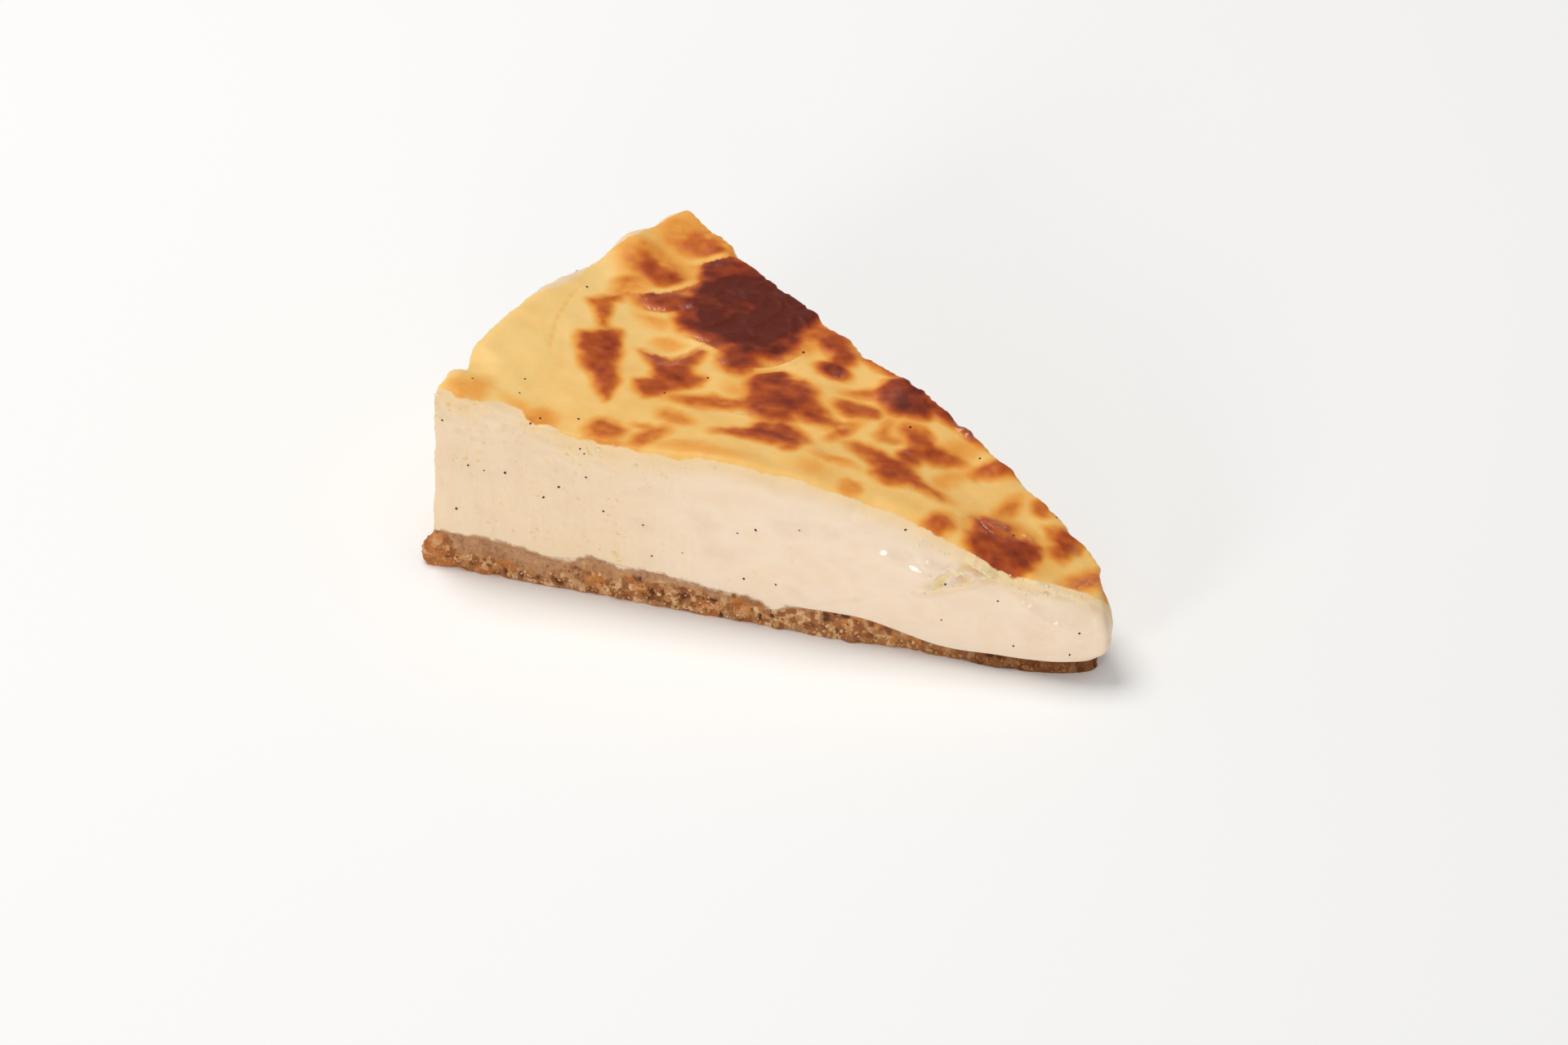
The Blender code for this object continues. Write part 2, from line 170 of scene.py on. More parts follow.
# Browned patches: x, y, half length, half width, turn in degrees, depth of browning, softness of the edge
PATCHES = (
    # the large dark patch beside the back edge, and its arms
    (-110.0, 19.5, 10.5, 10.5, 0, 0.98, 1.5),
    (-116.0, 24.5, 6.6, 6.0, -15, 0.86, 1.1),
    (-103.6, 15.2, 6.2, 7.0, 10, 0.95, 1.3),
    (-104.5, 23.0, 5.8, 5.2, -15, 0.92, 1.2),
    (-112.0, 10.8, 7.0, 4.2, -12, 0.88, 1.2),
    (-121.3, 12.4, 5.8, 2.6, 32, 0.74, 1.0),
    (-102.8, 6.6, 3.2, 4.0, 10, 0.84, 1.4),
    (-121.2, 26.8, 2.8, 4.2, 15, 0.70, 0.8),
    (-108.0, 18.0, 13.0, 12.0, 0, 0.35, 2.0),
    # towards the far corner
    (-127.2, 17.4, 5.6, 2.7, -8, 0.68, 1.4),
    (-128.2, 18.6, 7.8, 4.8, -14, 0.34, 2.0),
    (-127.0, 28.6, 5.0, 3.4, 20, 0.50, 1.8),
    (-129.0, 30.0, 7.0, 4.8, 10, 0.30, 2.4),
    (-134.5, 34.0, 3.0, 2.2, 30, 0.22, 2.0),
    # beside the rim
    (-122.4, -5.2, 2.6, 1.9, -45, 0.75, 1.5),
    (-127.6, 10.4, 2.2, 1.0, 45, 0.42, 0.9),
    (-129.2, 12.4, 2.4, 1.6, 60, 0.40, 1.2),
    # below the dark patch
    (-108.6, -4.6, 2.5, 2.3, 10, 0.75, 1.5),
    (-91.6, 2.8, 6.4, 4.8, -14, 0.70, 1.4),
    (-90.4, -2.2, 5.0, 3.9, -10, 0.66, 1.4),
    (-86.2, 0.9, 5.8, 2.7, -8, 0.62, 1.3),
    (-82.3, 0.4, 3.4, 1.2, 2, 0.52, 1.0),
    (-95.3, 5.4, 2.9, 2.8, 0, 0.64, 1.1),
    (-98.6, -6.4, 6.4, 1.7, 30, 0.48, 1.1),
    (-103.6, -9.4, 2.8, 1.0, 18, 0.34, 1.0),
    (-84.4, -8.4, 4.6, 3.0, 2, 0.66, 1.2),
    (-88.6, -11.9, 4.4, 1.7, 34, 0.54, 1.0),
    (-92.0, -14.2, 1.6, 1.0, 45, 0.30, 1.0),
    (-81.2, -10.4, 1.8, 2.0, 0, 0.50, 1.0),
    (-86.0, -11.0, 3.4, 2.0, 25, 0.64, 1.1),
    # the spot and strips along the back edge
    (-88.9, 13.8, 2.8, 2.0, -4, 0.86, 1.0),
    (-89.6, 17.8, 2.2, 3.2, 22, 0.64, 1.1),
    (-93.0, 20.2, 3.0, 2.4, -30, 0.64, 1.1),
    (-95.0, 21.4, 4.4, 2.4, 0, 0.56, 1.1),
    (-84.0, 20.0, 4.6, 1.0, -12, 0.46, 0.9),
    (-80.0, 19.3, 4.0, 1.0, -10, 0.58, 0.9),
    (-74.8, 14.0, 4.8, 4.0, -25, 0.84, 1.3),
    (-74.6, 17.4, 2.4, 1.8, -32, 0.84, 1.0),
    (-71.6, 13.0, 3.0, 2.4, 0, 0.80, 1.1),
    (-66.0, 14.6, 6.4, 1.4, -9, 0.74, 0.9),
    (-61.5, 13.4, 2.6, 0.9, -12, 0.50, 0.8),
    (-80.6, 12.4, 3.0, 1.2, 38, 0.46, 1.0),
    # the middle
    (-79.3, 6.6, 3.6, 2.2, 12, 0.56, 1.1),
    (-77.4, -0.4, 1.4, 3.0, -4, 0.44, 1.0),
    (-66.2, 5.8, 4.4, 2.4, -32, 0.60, 1.2),
    (-62.0, 5.2, 3.4, 2.2, 30, 0.55, 1.2),
    (-65.0, 1.0, 1.8, 3.2, 0, 0.62, 1.0),
    (-68.4, -3.2, 5.0, 2.0, -2, 0.57, 1.1),
    (-64.2, -4.6, 3.6, 3.4, 0, 0.64, 1.3),
    (-59.0, -4.4, 4.0, 1.4, 4, 0.48, 1.1),
    (-72.2, 5.0, 0.9, 2.6, 12, 0.34, 0.9),
    (-70.2, 3.2, 1.8, 0.9, 25, 0.32, 0.9),
    (-73.2, -9.2, 2.4, 0.6, 14, 0.28, 0.8),
    (-57.4, 1.0, 1.1, 2.8, 0, 0.22, 1.2),
    (-60.5, 9.5, 1.6, 3.0, -35, 0.20, 1.2),
    # towards the tip
    (-39.6, -6.8, 2.6, 2.6, 0, 0.78, 1.9),
    (-42.0, -5.6, 6.6, 5.8, -10, 0.30, 1.8),
    (-52.8, 9.4, 3.0, 1.9, 58, 0.56, 1.0),
    (-55.0, 6.6, 2.0, 1.4, 50, 0.40, 1.0),
    (-51.6, -10.6, 1.9, 2.8, 4, 0.52, 1.0),
    (-46.7, 2.0, 1.0, 3.0, 0, 0.38, 1.0),
    (-36.1, 3.6, 2.4, 2.4, 20, 0.62, 1.1),
    (-35.2, 0.8, 1.4, 2.2, 0, 0.54, 1.0),
    (-37.8, 3.0, 1.4, 0.7, 0, 0.42, 0.8),
    (-42.6, 7.0, 1.8, 1.8, 0, 0.42, 1.0),
    (-28.2, -1.8, 1.9, 4.0, -22, 0.44, 1.3),
    # beside the front cut
    (-67.0, -13.8, 1.7, 1.8, 0, 0.32, 0.9),
    (-74.5, -14.0, 2.4, 2.2, 15, 0.14, 1.8),
    (-107.6, -25.4, 2.8, 3.0, 0, 0.45, 1.3),
    (-104.5, -28.2, 1.8, 1.0, 10, 0.28, 0.9),
    (-100.9, -22.6, 1.6, 3.4, -8, 0.46, 1.1),
    (-103.2, -20.6, 1.6, 0.8, 0, 0.30, 0.8),
    (-100.8, -15.0, 2.7, 1.8, 0, 0.34, 1.1),
    (-118.2, -30.2, 2.7, 2.9, 0, 0.28, 1.3),
    (-122.5, -29.4, 2.4, 0.9, -10, 0.18, 1.0),
    (-130.4, -32.4, 2.6, 3.8, 0, 0.23, 1.6),
    (-93.5, -22.3, 4.0, 1.8, 15, 0.18, 1.4),
    (-88.0, -20.7, 4.0, 1.2, 14, 0.14, 1.2),
    # faint stains between them
    (-121.0, 6.6, 2.8, 1.4, 0, 0.26, 1.2),
    (-114.5, 2.0, 2.0, 1.4, 20, 0.20, 1.0),
    (-98.0, -1.0, 2.0, 1.5, 0, 0.18, 1.2),
    (-124.5, 22.8, 2.2, 1.2, 40, 0.22, 1.2),
)
# Browned patches of uneven shape: depth of browning, softness of the edge, outline as x and y
OUTLINES = (
    (0.56, 0.9, (
        (-131.4, 2.5), (-130.2, 6.0), (-128.0, 9.2), (-127.4, 7.0), (-128.2, 5.2), (-126.6, 2.8),
        (-125.4, 0.1), (-123.4, -1.8), (-125.6, -1.9), (-128.1, 0.2),
    )),
    (0.67, 1.1, (
        (-124.2, -1.2), (-122.3, 0.0), (-121.0, -2.8), (-118.2, -6.0), (-117.2, -9.2),
        (-114.2, -12.4), (-112.6, -18.8), (-114.6, -17.6), (-118.5, -14.3), (-121.0, -13.4),
        (-123.9, -10.5), (-126.7, -7.5), (-126.9, -5.9), (-125.2, -3.6),
    )),
    (0.64, 1.0, (
        (-117.0, -2.2), (-114.3, -1.5), (-111.8, -1.2), (-110.5, 0.9), (-109.3, 5.1), (-108.1, 4.7),
        (-107.3, -0.3), (-106.3, -1.9), (-104.0, -2.1), (-103.4, -4.2), (-105.3, -6.7),
        (-107.1, -10.9), (-108.4, -13.4), (-110.7, -12.6), (-112.6, -10.3), (-110.8, -7.8),
        (-112.5, -5.3),
    )),
    (0.69, 1.1, (
        (-47.6, -6.4), (-47.8, -8.6), (-46.6, -10.4), (-43.6, -11.8), (-40.6, -12.2), (-37.4, -10.6),
        (-35.8, -8.0), (-35.8, -4.4), (-37.2, -1.2), (-40.0, -1.6), (-41.8, -3.9), (-44.2, -4.8),
    )),
    (0.60, 0.8, (
        (-49.4, -4.4), (-47.9, -2.3), (-46.2, -1.1), (-43.6, -1.3), (-41.4, -3.7), (-44.0, -5.6),
        (-47.6, -7.0),
    )),
)  # fmt: skip
OUTLINE_WARP = 0.6
GOLDEN = 0.06  # the skin is deeper yellow away from the rim
GOLDEN_FROM = (-0.130, -0.112)
PATCH_WARP = ((0.25 * MM, 0.0085, 51), (0.16 * MM, 0.0032, 53))
PATCH_SOFTNESS = 1.35
PATCH_SWELL = 0.25  # millimetres that each patch reaches past its named size
WRINKLED = (0.78, 1.02)  # how brown the skin is where it wrinkles into streaks
STREAK_PALENESS = 0.13
PATCH_MOTTLE = ((0.060, 0.0042, 56), (0.030, 0.0017, 57))  # unevenness of the browning inside a patch

# Thin folds where the skin tore and lifted: start, bend, end, height, paleness of the left side. The
# browned side lies to the right.
FOLDS = (
    ((-117.6, -1.8), (-110.6, -3.6), (-109.6, 6.0), 0.42, 0.9),
    ((-127.5, 9.6), (-122.6, 12.4), (-120.6, 21.0), 0.34, 0.9),
    ((-119.0, 11.0), (-120.5, 8.2), (-124.0, 7.4), 0.24, 0.6),
    ((-106.5, 6.0), (-110.0, 6.2), (-114.0, 5.2), 0.28, 0.8),
    ((-95.4, 14.6), (-95.8, 9.6), (-100.0, 5.6), 0.34, 0.8),
    ((-124.2, 23.6), (-121.9, 27.5), (-120.3, 30.2), 0.20, 0.9),
    ((-48.2, -3.4), (-44.8, -6.0), (-41.4, -3.4), 0.60, 0.0),
    ((-41.6, -1.6), (-40.3, -0.9), (-39.2, -1.7), 0.22, 0.0),
)
# Places where the skin shines: x, y, half length, half width, turn, shine
SHINES = (
    (-44.8, -2.9, 3.3, 1.4, -14, 1.0),
    (-49.8, -4.4, 2.2, 0.7, 45, 0.7),
    (-40.3, -1.6, 1.3, 0.7, 0, 0.8),
    (-28.3, -2.4, 1.4, 3.4, -20, 0.9),
    (-34.0, 2.9, 1.0, 0.8, 0, 0.8),
    (-110.8, -2.2, 2.8, 0.9, 45, 0.9),
    (-93.0, -6.8, 2.4, 1.2, 20, 0.7),
    (-87.2, 13.2, 1.2, 0.9, 0, 0.8),
    (-62.4, 13.6, 2.6, 0.8, -12, 0.9),
    (-66.0, 1.8, 1.0, 0.7, 0, 0.6),
    (-76.5, -9.2, 1.3, 0.8, 0, 0.7),
    (-79.8, 8.6, 0.8, 0.6, 0, 0.8),
    (-60.0, -6.6, 0.8, 1.6, -10, 0.6),
    (-113.0, 22.0, 2.2, 0.7, -40, 0.25),
    (-106.5, 14.5, 2.5, 0.6, -35, 0.25),
    (-118.5, 13.0, 1.4, 0.7, 30, 0.6),
    (-105.0, 4.2, 2.2, 1.0, 0, 0.5),
)
# The same on the front cut: place along it, height, half length, half height, turn, shine
# The swelling below each: its height, how far below its middle lies, its reach along and up
FRONT_MOUND = (0.62, 0.80, 2.0, 1.2)
FRONT_SHINES = (
    (60.2, 18.6, 2.0, 0.70, -4, 1.0),
    (55.4, 16.5, 1.9, 0.70, -12, 1.0),
    (53.2, 18.0, 1.0, 0.60, -20, 1.0),
    (36.4, 13.3, 1.5, 0.60, -25, 1.0),
    (33.8, 11.7, 2.0, 0.70, -15, 1.0),
    (30.8, 10.9, 1.6, 0.60, -5, 1.0),
)
# Ridges of torn cream on the front cut: start, bend and end as place along it and height, then how high
# the ridge stands
FRONT_RIDGES = (
    ((54.4, 12.5), (50.0, 13.7), (45.2, 15.8), 0.60),
    ((52.8, 14.9), (51.0, 16.6), (48.8, 17.6), 0.45),
    ((50.4, 15.2), (48.0, 16.8), (45.8, 17.6), 0.60),
    ((47.4, 19.3), (44.8, 18.8), (42.0, 17.0), 0.75),
    ((46.4, 16.2), (44.2, 17.0), (41.6, 16.9), 0.45),
    ((40.6, 17.2), (38.4, 17.6), (36.0, 17.2), 0.35),
    ((36.4, 17.4), (34.0, 17.6), (31.6, 16.6), 0.35),
    ((31.8, 16.8), (30.0, 16.4), (27.6, 15.9), 0.25),
)
# The torn part of the front cut: place along it, and the heights between which it is torn
TORN = (
    (26, 15.4, 16.6),
    (31, 15.6, 17.4),
    (36, 16.3, 17.9),
    (42, 16.3, 19.4),
    (45, 15.0, 20.4),
    (48, 13.6, 19.2),
    (50, 13.0, 17.4),
    (52, 12.4, 15.6),
    (54, 12.0, 13.4),
    (55.5, 12.0, 12.1),
)
# How far the brown smear stands above the seam on the front cut; below 0 the cream hangs over the biscuit
SMEAR_LINE = (
    (98, 0.0), (103, 0.1), (107, -0.6), (112, 0.6), (117, -0.7), (122, 0.2), (128, 0.4), (135, 0.2),
    (142, 0.0),
)  # fmt: skip
FOLD_WIDTH = 0.50
CRACK = ((-134.6, 6.0), (-132.8, -7.0), (-126.0, -15.5))  # a thin line in the skin beside the rim
FOLD_STEPS = 24
# Where cream is smeared over the crumbs: distance from the cake's centre, share of the base's height
SMEARED_FROM = (
    (20, 1.2), (70, 1.15), (78, 0.90), (92, 0.76), (102, 0.62), (112, 0.50), (118, 0.46), (124, 0.36),
    (131, 0.46), (137, 0.52), (140, 0.85), (143, 1.1),
)  # fmt: skip
# Small notches in the back edge: distance from the cake's centre along it, depth
NOTCHES = ((124, 0.9), (101, 0.35), (90, 0.7), (77, 0.6), (54, 0.6), (66, 0.4), (37, 0.5), (29, -0.9))

EDGE_RAGGED = ((0.00007, 0.0036, 87), (0.00008, 0.0016, 88))
# The outline of the nose: height, how far it stands out, reach up and down
NOSE_PROFILE = ((10.5, 0.45, 4.0), (14.0, -0.55, 1.3), (16.2, -0.15, 1.0))

# Vanilla seeds seen on the front cut (place along it, height) and on the skin (x, y)
FRONT_SEEDS = (
    (131, 20.1), (127.3, 20.3), (120.5, 17), (136.2, 11.7), (109.9, 16.4), (103, 15), (101.5, 9.3),
    (112.9, 22.3), (113.9, 27.5), (113.2, 26.7), (105.6, 30), (122.7, 30.5), (75.5, 19.6), (79.7, 8.2),
    (50.9, 7.3), (50.3, 14.3), (41.5, 12.5), (38.6, 4.7), (27.5, 9.3),
    (29, 4.9), (57.5, 22.9), (138.3, 28.3),
)  # fmt: skip
SKIN_SEEDS = (
    (-138.3, 9), (-133.5, 5.3), (-126, -22.8), (-124.4, -26.5), (-112.9, -25.8), (-118, -29.5),
    (-69.5, 8), (-57, 10), (-40, 7), (-131.5, -30), (-95.8, 15.2), (-103.8, -1.5),
)  # fmt: skip
HIDDEN_SEEDS = 46
SEED_SIZES = (0.18 * MM, 0.28 * MM)

# Fine relief. Waves are height, length and seed. Four values say where a stretch starts, is full, is still
# full and ends; two values say where something is nothing and where it is whole.
FAR = 1000.0  # millimetres, further than any two places lie apart
GRAIN_MARGIN = 0.15
FACES = (0.3, 0.8)
FACES_UP = (0.25, 0.75)
SPOT_EDGE = (1.25, 0.6)
SKIN_EDGE_SLOPE = 0.7
NOSE_FROM = (0.046, 0.030)
PATCH_MERGE = 4
MOTTLED = (0.10, 0.50)
CREASE_SLANT = (0.35, 0.75)
CREASE_WAVES = (0.0042, 61)
FOLD_PALE = (-0.20, 0.15, 0.9, 2.2)
# painted shade in each fold's trough: where it lies beside the fold, its width and how much browner
FOLD_TROUGH_SHADE = (0.6, 0.7, 0.08)
FOLD_RIDGE_AT = 0.30
FOLD_TROUGH = (0.45, 0.40, 0.6)
FOLD_SHINE_AT = 0.8
CRACK_BROWNING = 0.13
CRACK_DEPTH = 0.00012
CRACK_WIDTH = 0.35
BLISTER = 0.00028
BLISTERED = (0.25, 0.75)
WRINKLE = 0.00020
SKIN_WAVES = ((0.00007, 0.0060, 63), (0.00002, 0.0025, 64))
GLAZED = (0.45, 0.85)
GLAZE_WAVES = ((0.00010, 0.0016, 65),)
TORN_EDGE = (0.6, -0.5)
TORN_ALONG = (0.025, 0.029, 0.054, 0.0555)
TORN_WAVES = ((0.00012, 0.0022, 74),)
TORN_FINE_WAVES = ((0.00010, 0.0012, 75),)
FRONT_CUT_WAVES = ((0.00009, 0.0065, 71), (0.00003, 0.0022, 72))
DRAGGED_ALONG = (0.088, 0.098, 0.122, 0.130)
DRAGGED_HEIGHTS = (0.004, 0.007, 0.012, 0.017)
DRAG_UPRIGHT = 0.10
DRAG_WAVES = ((0.00010, 0.0022, 73),)
GRAINY_FROM = (0.085, 0.110)
GRAINY_WAVES = ((0.00003, 0.0012, 82),)
FRONT_PITS = (0.0017, 81, (0.30, 0.06), 0.00022, 0.40)
RIDGE_WIDTH = 0.50
RIDGE_HEIGHT = 1.5
RIDGE_TROUGH = (0.9, 0.5, 0.9)  # at, width, share
# A crease in the front cut: a place on it as along and height, its slope, its depth and its width
CUT_CREASE = (0.0685, 0.0075, (0.39, 0.92), 0.00030, 0.0005)
CUT_CREASE_ALONG = (0.060, 0.065, 0.072, 0.076)
SKIN_STEP = 0.00006
SKIN_STEP_FROM = (0.078, 0.095)
FIBROUS_ALONG = (0.104, 0.114, 0.150, 0.160)
FIBROUS_REACH = (-9.0, -3.0)
FIBRE_WAVES = ((0.00010, 0.0024, 83),)
FIBRE_FINE_WAVES = ((0.00005, 0.0012, 85),)
BACK_CUT_WAVES = ((0.00007, 0.0060, 76), (0.00003, 0.0020, 77))
BACK_PITS = (0.0021, 84, (0.28, 0.05), 0.00016, 0.3)
WALL_WAVES = ((0.00012, 0.0034, 78),)
WALL_FINE_WAVES = ((0.00007, 0.0014, 79),)
EDGE_REACH = 2.2
NOTCH_UPRIGHT = 0.7
NOTCH_REACH = 0.0014
SMEAR_WAVER = ((0.20, 0.006, 91), (0.07, 0.0021, 92))
SMEAR_BLEND = 0.22
SMEAR_WAVES = ((0.00008, 0.0032, 95), (0.00004, 0.0011, 96))
LUMP_WARP = ((0.3 * MM, 0.003, 93),)
LUMP_GRAINS = (0.0019, 94)
CRUMB_GRAINS = (0.00110, 97)
FINE_GRAINS = (0.00052, 101)
CRUMB_BUMPS = ((0.00030, 0.6), (0.00026, 0.55), (0.00014, 0.5))
LUMP_PITS = (0.00055, 0.20)
CRUMB_PITS = (0.00030, 0.22)
PIT_FALLS = (0.5, 0.1)
SMEAR_SMOOTHS = 0.80
FLOOR_SMOOTHS = 0.65
SEAM_SMOOTHS = 0.95
NEAR_SEAM = (0.84, 1.0)
DEPTH_UNIT = 0.0003

# What the looks take from the shape
SMEAR_LINE_FROM = (0.098, 0.103)
LEAST_FILM = 0.15
FILM_FROM = (0.064, 0.078)
FILM_ENDS = (0.1415, 0.1385)
NO_FILM = 3  # millimetres that the smear's border is moved away from the seam where nothing is smeared
SEAM_STILL = (0.02, 0.12)
GRAINY_TONE_FROM = (0.085, 0.115)
WALL_FROM = (-0.110, -0.125)
# where the biscuit starts to darken towards the tip, as painted shade
TIP_SHADE_FROM = (0.062, 0.038)
OUTER_FROM = (0.1345, 0.1405)
UNDERSIDE_RELIEF = 0.8
MEETING_SHIFT = 0.03
MEETING_END_MARGIN = 0.04
CHEESE_MEETING_MARGIN = 0.03
BISCUIT_MEETING_MARGIN = 0.02

# Small lumps, and how they are spread
ROCK_KINDS = 8
ROCK_FACETS = 4
ROCK_FACET_AT = (0.25, 0.42)
ROCK_FLATTENING = 0.8
ROCK_UNEVEN = 0.10
CLEAR = 0.02  # how far outside the slice a line towards it starts
ABOVE_SKIN = 0.04
SEEDS_ON_BACK = 0.45
SEEDS_ON_RIM = 0.30
BITS_PER_RIDGE = 16
# Frayed bits below the skin's edge: how many, from and to along the cut, how far below, spread downwards
FRAYED = ((70, 0.033, 0.056, 0.0024, 0.0005), (60, 0.088, 0.137, 0.0006, 0.0016))
BIT_SIZE = 0.00038
BIT_SINK = 0.00008
GRAIN_COUNT = 2400
GRAINS_LOW = (1.1, 2.2)
GRAINS_ON_FRONT = 0.42
GRAINS_ON_BACK = 0.30
GRAIN_SIZE = 0.00038

# The skin's colours by how brown it is, as shares of the range
BROWNING_RANGE = 1.25
BROWNS = (
    (0.00, "F6CD82"), (0.07, "F3BF6B"), (0.15, "F0AB52"), (0.24, "E6983F"), (0.33, "D98030"),
    (0.42, "C96926"), (0.52, "B6541F"), (0.62, "A0421A"), (0.72, "813015"), (0.84, "62200F"),
)  # fmt: skip
SMEAR_COLOUR = "B98C66"

# The camera at the photograph's place
VIEW_AZIMUTH = math.radians(33.84)
VIEW_ELEVATION = math.radians(30.79)
VIEW_DISTANCE = 1.100
VIEW_TARGET = Vector((0.0027, -0.0002, 0.015))
VIEW_ASIDE = (-0.00774, -0.00527)
LENS = 151.4
SENSOR_WIDTH = 36
CLIP_START = 0.05
ROOM_LIGHT = 0.42
# Lamps: name, direction, distance, size, power, colour
LAMPS = (
    ("key", (-0.40, 0.05, 1.0), 1.3, 0.70, 8.8, (1.0, 0.985, 0.96)),
    ("front fill", (0.06, -1.0, 0.26), 1.5, 0.38, 5.4, (1, 1, 1)),
    ("side fill", (0.53, -0.85, 0.28), 1.5, 0.26, 1.3, (1, 1, 1)),
)
FLOOR_HALF = 3.0


def smooth_curve(points, at):
    """A smooth line through points (place, value), read at many places."""
    place, value = np.array(points, float).T
    slope = np.gradient(value, place)
    at = np.clip(at, place[0], place[-1])
    k = np.clip(np.searchsorted(place, at) - 1, 0, len(place) - 2)
    width = place[k + 1] - place[k]
    f = (at - place[k]) / width
    return (
        value[k] * (1 + 2 * f) * (1 - f) ** 2
        + value[k + 1] * f**2 * (3 - 2 * f)
        + width * f * (1 - f) * (slope[k] * (1 - f) - slope[k + 1] * f)
    )


def waves(x, y, length, seed, count=9):
    """Uneven waves about one unit high, of the given length, the same on each run."""
    rng = np.random.default_rng(seed)
    total = np.zeros_like(x)
    for _ in range(count):
        heading = rng.uniform(0, 2 * math.pi)
        pitch = 2 * math.pi / (length * rng.uniform(0.7, 1.4))
        phase = rng.uniform(0, 2 * math.pi)
        total += np.sin(pitch * (x * math.cos(heading) + y * math.sin(heading)) + phase)
    return total / math.sqrt(count)


def ripples(x, y, kinds, seed=0):
    return sum(height * waves(x, y, length, own + seed) for height, length, own in kinds)


def hump(distance, reach):
    return np.exp(-((distance / reach) ** 2))


def step(low, high, value):
    f = np.clip((value - low) / (high - low), 0, 1)
    return f * f * (3 - 2 * f)


def plateau(starts, full, still_full, ends, value):
    return step(starts, full, value) * step(ends, still_full, value)


def front_frame(x, y):
    """Distance along the front cut from the cake's centre, and depth behind that cut."""
    along = -x * math.cos(FRONT_ANGLE) - y * math.sin(FRONT_ANGLE)
    depth = -x * math.sin(FRONT_ANGLE) + y * math.cos(FRONT_ANGLE)
    return along, depth


def back_depth(x, y):
    """Depth behind the back cut."""
    return -x * math.sin(BACK_ANGLE) - y * math.cos(BACK_ANGLE) - BACK_MISS


def top_height(x, y):
    """The baked top before its edges are rounded."""
    height = smooth_curve(TOP_PROFILE, np.hypot(x, y))
    along, depth = front_frame(x, y)
    height += smooth_curve(FRONT_RISE, along) * hump(depth, FRONT_REACH)
    for at_x, at_y, rise, reach in TOP_SWELLS:
        height += rise * hump(np.hypot(x - at_x, y - at_y), reach)
    return height + ripples(x, y, TOP_RIPPLES)


def seam_height(x, y):
    """The underside of the cheese, where it meets the biscuit."""
    along, depth = front_frame(x, y)
    place = along + (np.hypot(x, y) - along) * step(0, SEAM_STRAIGHTENS, depth)
    at, deep, reach, reach_in = SEAM_DIP
    dip = deep * hump(along - at, reach) * hump(depth, reach_in)
    return smooth_curve(SEAM_PROFILE, place) - dip + ripples(x, y, SEAM_RIPPLES)


def front_relief(along, height):
    """How far the front cut of the filling stands proud of the flat knife cut."""
    at, at_height, swell, reach, reach_up = SHOULDER
    shoulder = swell * hump(along - at, reach) * hump(height - at_height, reach_up)
    tear = TEAR_DEPTH * plateau(*TEAR_ALONG, along) * plateau(*TEAR_HEIGHT, height)
    return shoulder - tear + ripples(along, height, FRONT_RIPPLES)


def rim_relief(angle, height):
    """The cheese wall leans out a little to its foot and is dented where the baked skin shrank."""
    around = angle * RIM_RADIUS
    at_height, deep, reach = RIM_HOLLOW
    relief = RIM_FLARE * step(*RIM_FLARE_HEIGHTS, height) - deep * hump(height - at_height, reach)
    for at, outwards, reach in RIM_DENTS:
        relief += outwards * hump(around - at, reach) * step(*RIM_DENT_HEIGHTS, height)
    return relief + ripples(around, height * RIM_UPRIGHT, RIM_RIPPLES)


def crowd(f, amount):
    """Moves even places between -1 and 1 towards both ends."""
    return (1 - amount) * f + amount * np.sin(f * math.pi / 2)


def in_plan(t, v, radius, tip_start, tip_length, tip_lean):
    """Distance and angle from the cake's centre, and nearness to the sides, for places in the box.

    t runs from the rim to the tip and v from the front cut to the back cut. Past tip_start the square
    end of the box closes into a half round.
    """
    end = np.clip((t - (1 - END_SHARE)) / END_SHARE, 0, 1)
    body = np.clip(t / (1 - END_SHARE), 0, 1)
    body = 0.5 + 0.5 * crowd(2 * body - 1, LENGTH_CROWDING)
    distance = radius + (tip_start - radius) * body
    distance = distance - tip_length * end * np.sqrt(1 - v * v / 2) * (1 - tip_lean * v)
    side = v * np.sqrt(1 - end * end / 2)
    back = BACK_ANGLE - np.arcsin(BACK_MISS / distance)
    angle = (back - FRONT_ANGLE) / 2 + side * (back + FRONT_ANGLE) / 2
    half_width = distance * np.sin((back + FRONT_ANGLE) / 2)
    rounded = np.sqrt(end**2 + v**2 - (end * v) ** 2)
    return distance, angle, side, (1 - rounded) * half_width


def rounding(gaps, radii):
    """How much a face falls away near its edges, from its gap to each edge and the edge's radius."""
    near = [np.clip(1 - gap / radius, 0, 1) for gap, radius in zip(gaps, radii)]
    weight = sum(n**2 for n in near) + 1e-12
    radius = sum(n**2 * r for n, r in zip(near, radii)) / weight
    return radius * (1 - np.sqrt(1 - np.clip(weight, 0, 1)))


def push_sides(x, y, side, front, back):
    """Moves points out across the front cut and the back cut."""
    at_front = np.clip(-side, 0, 1) ** 3 * front
    at_back = np.clip(side, 0, 1) ** 3 * back
    x = x + at_front * math.sin(FRONT_ANGLE) + at_back * math.sin(BACK_ANGLE)
    y = y - at_front * math.cos(FRONT_ANGLE) + at_back * math.cos(BACK_ANGLE)
    return x, y


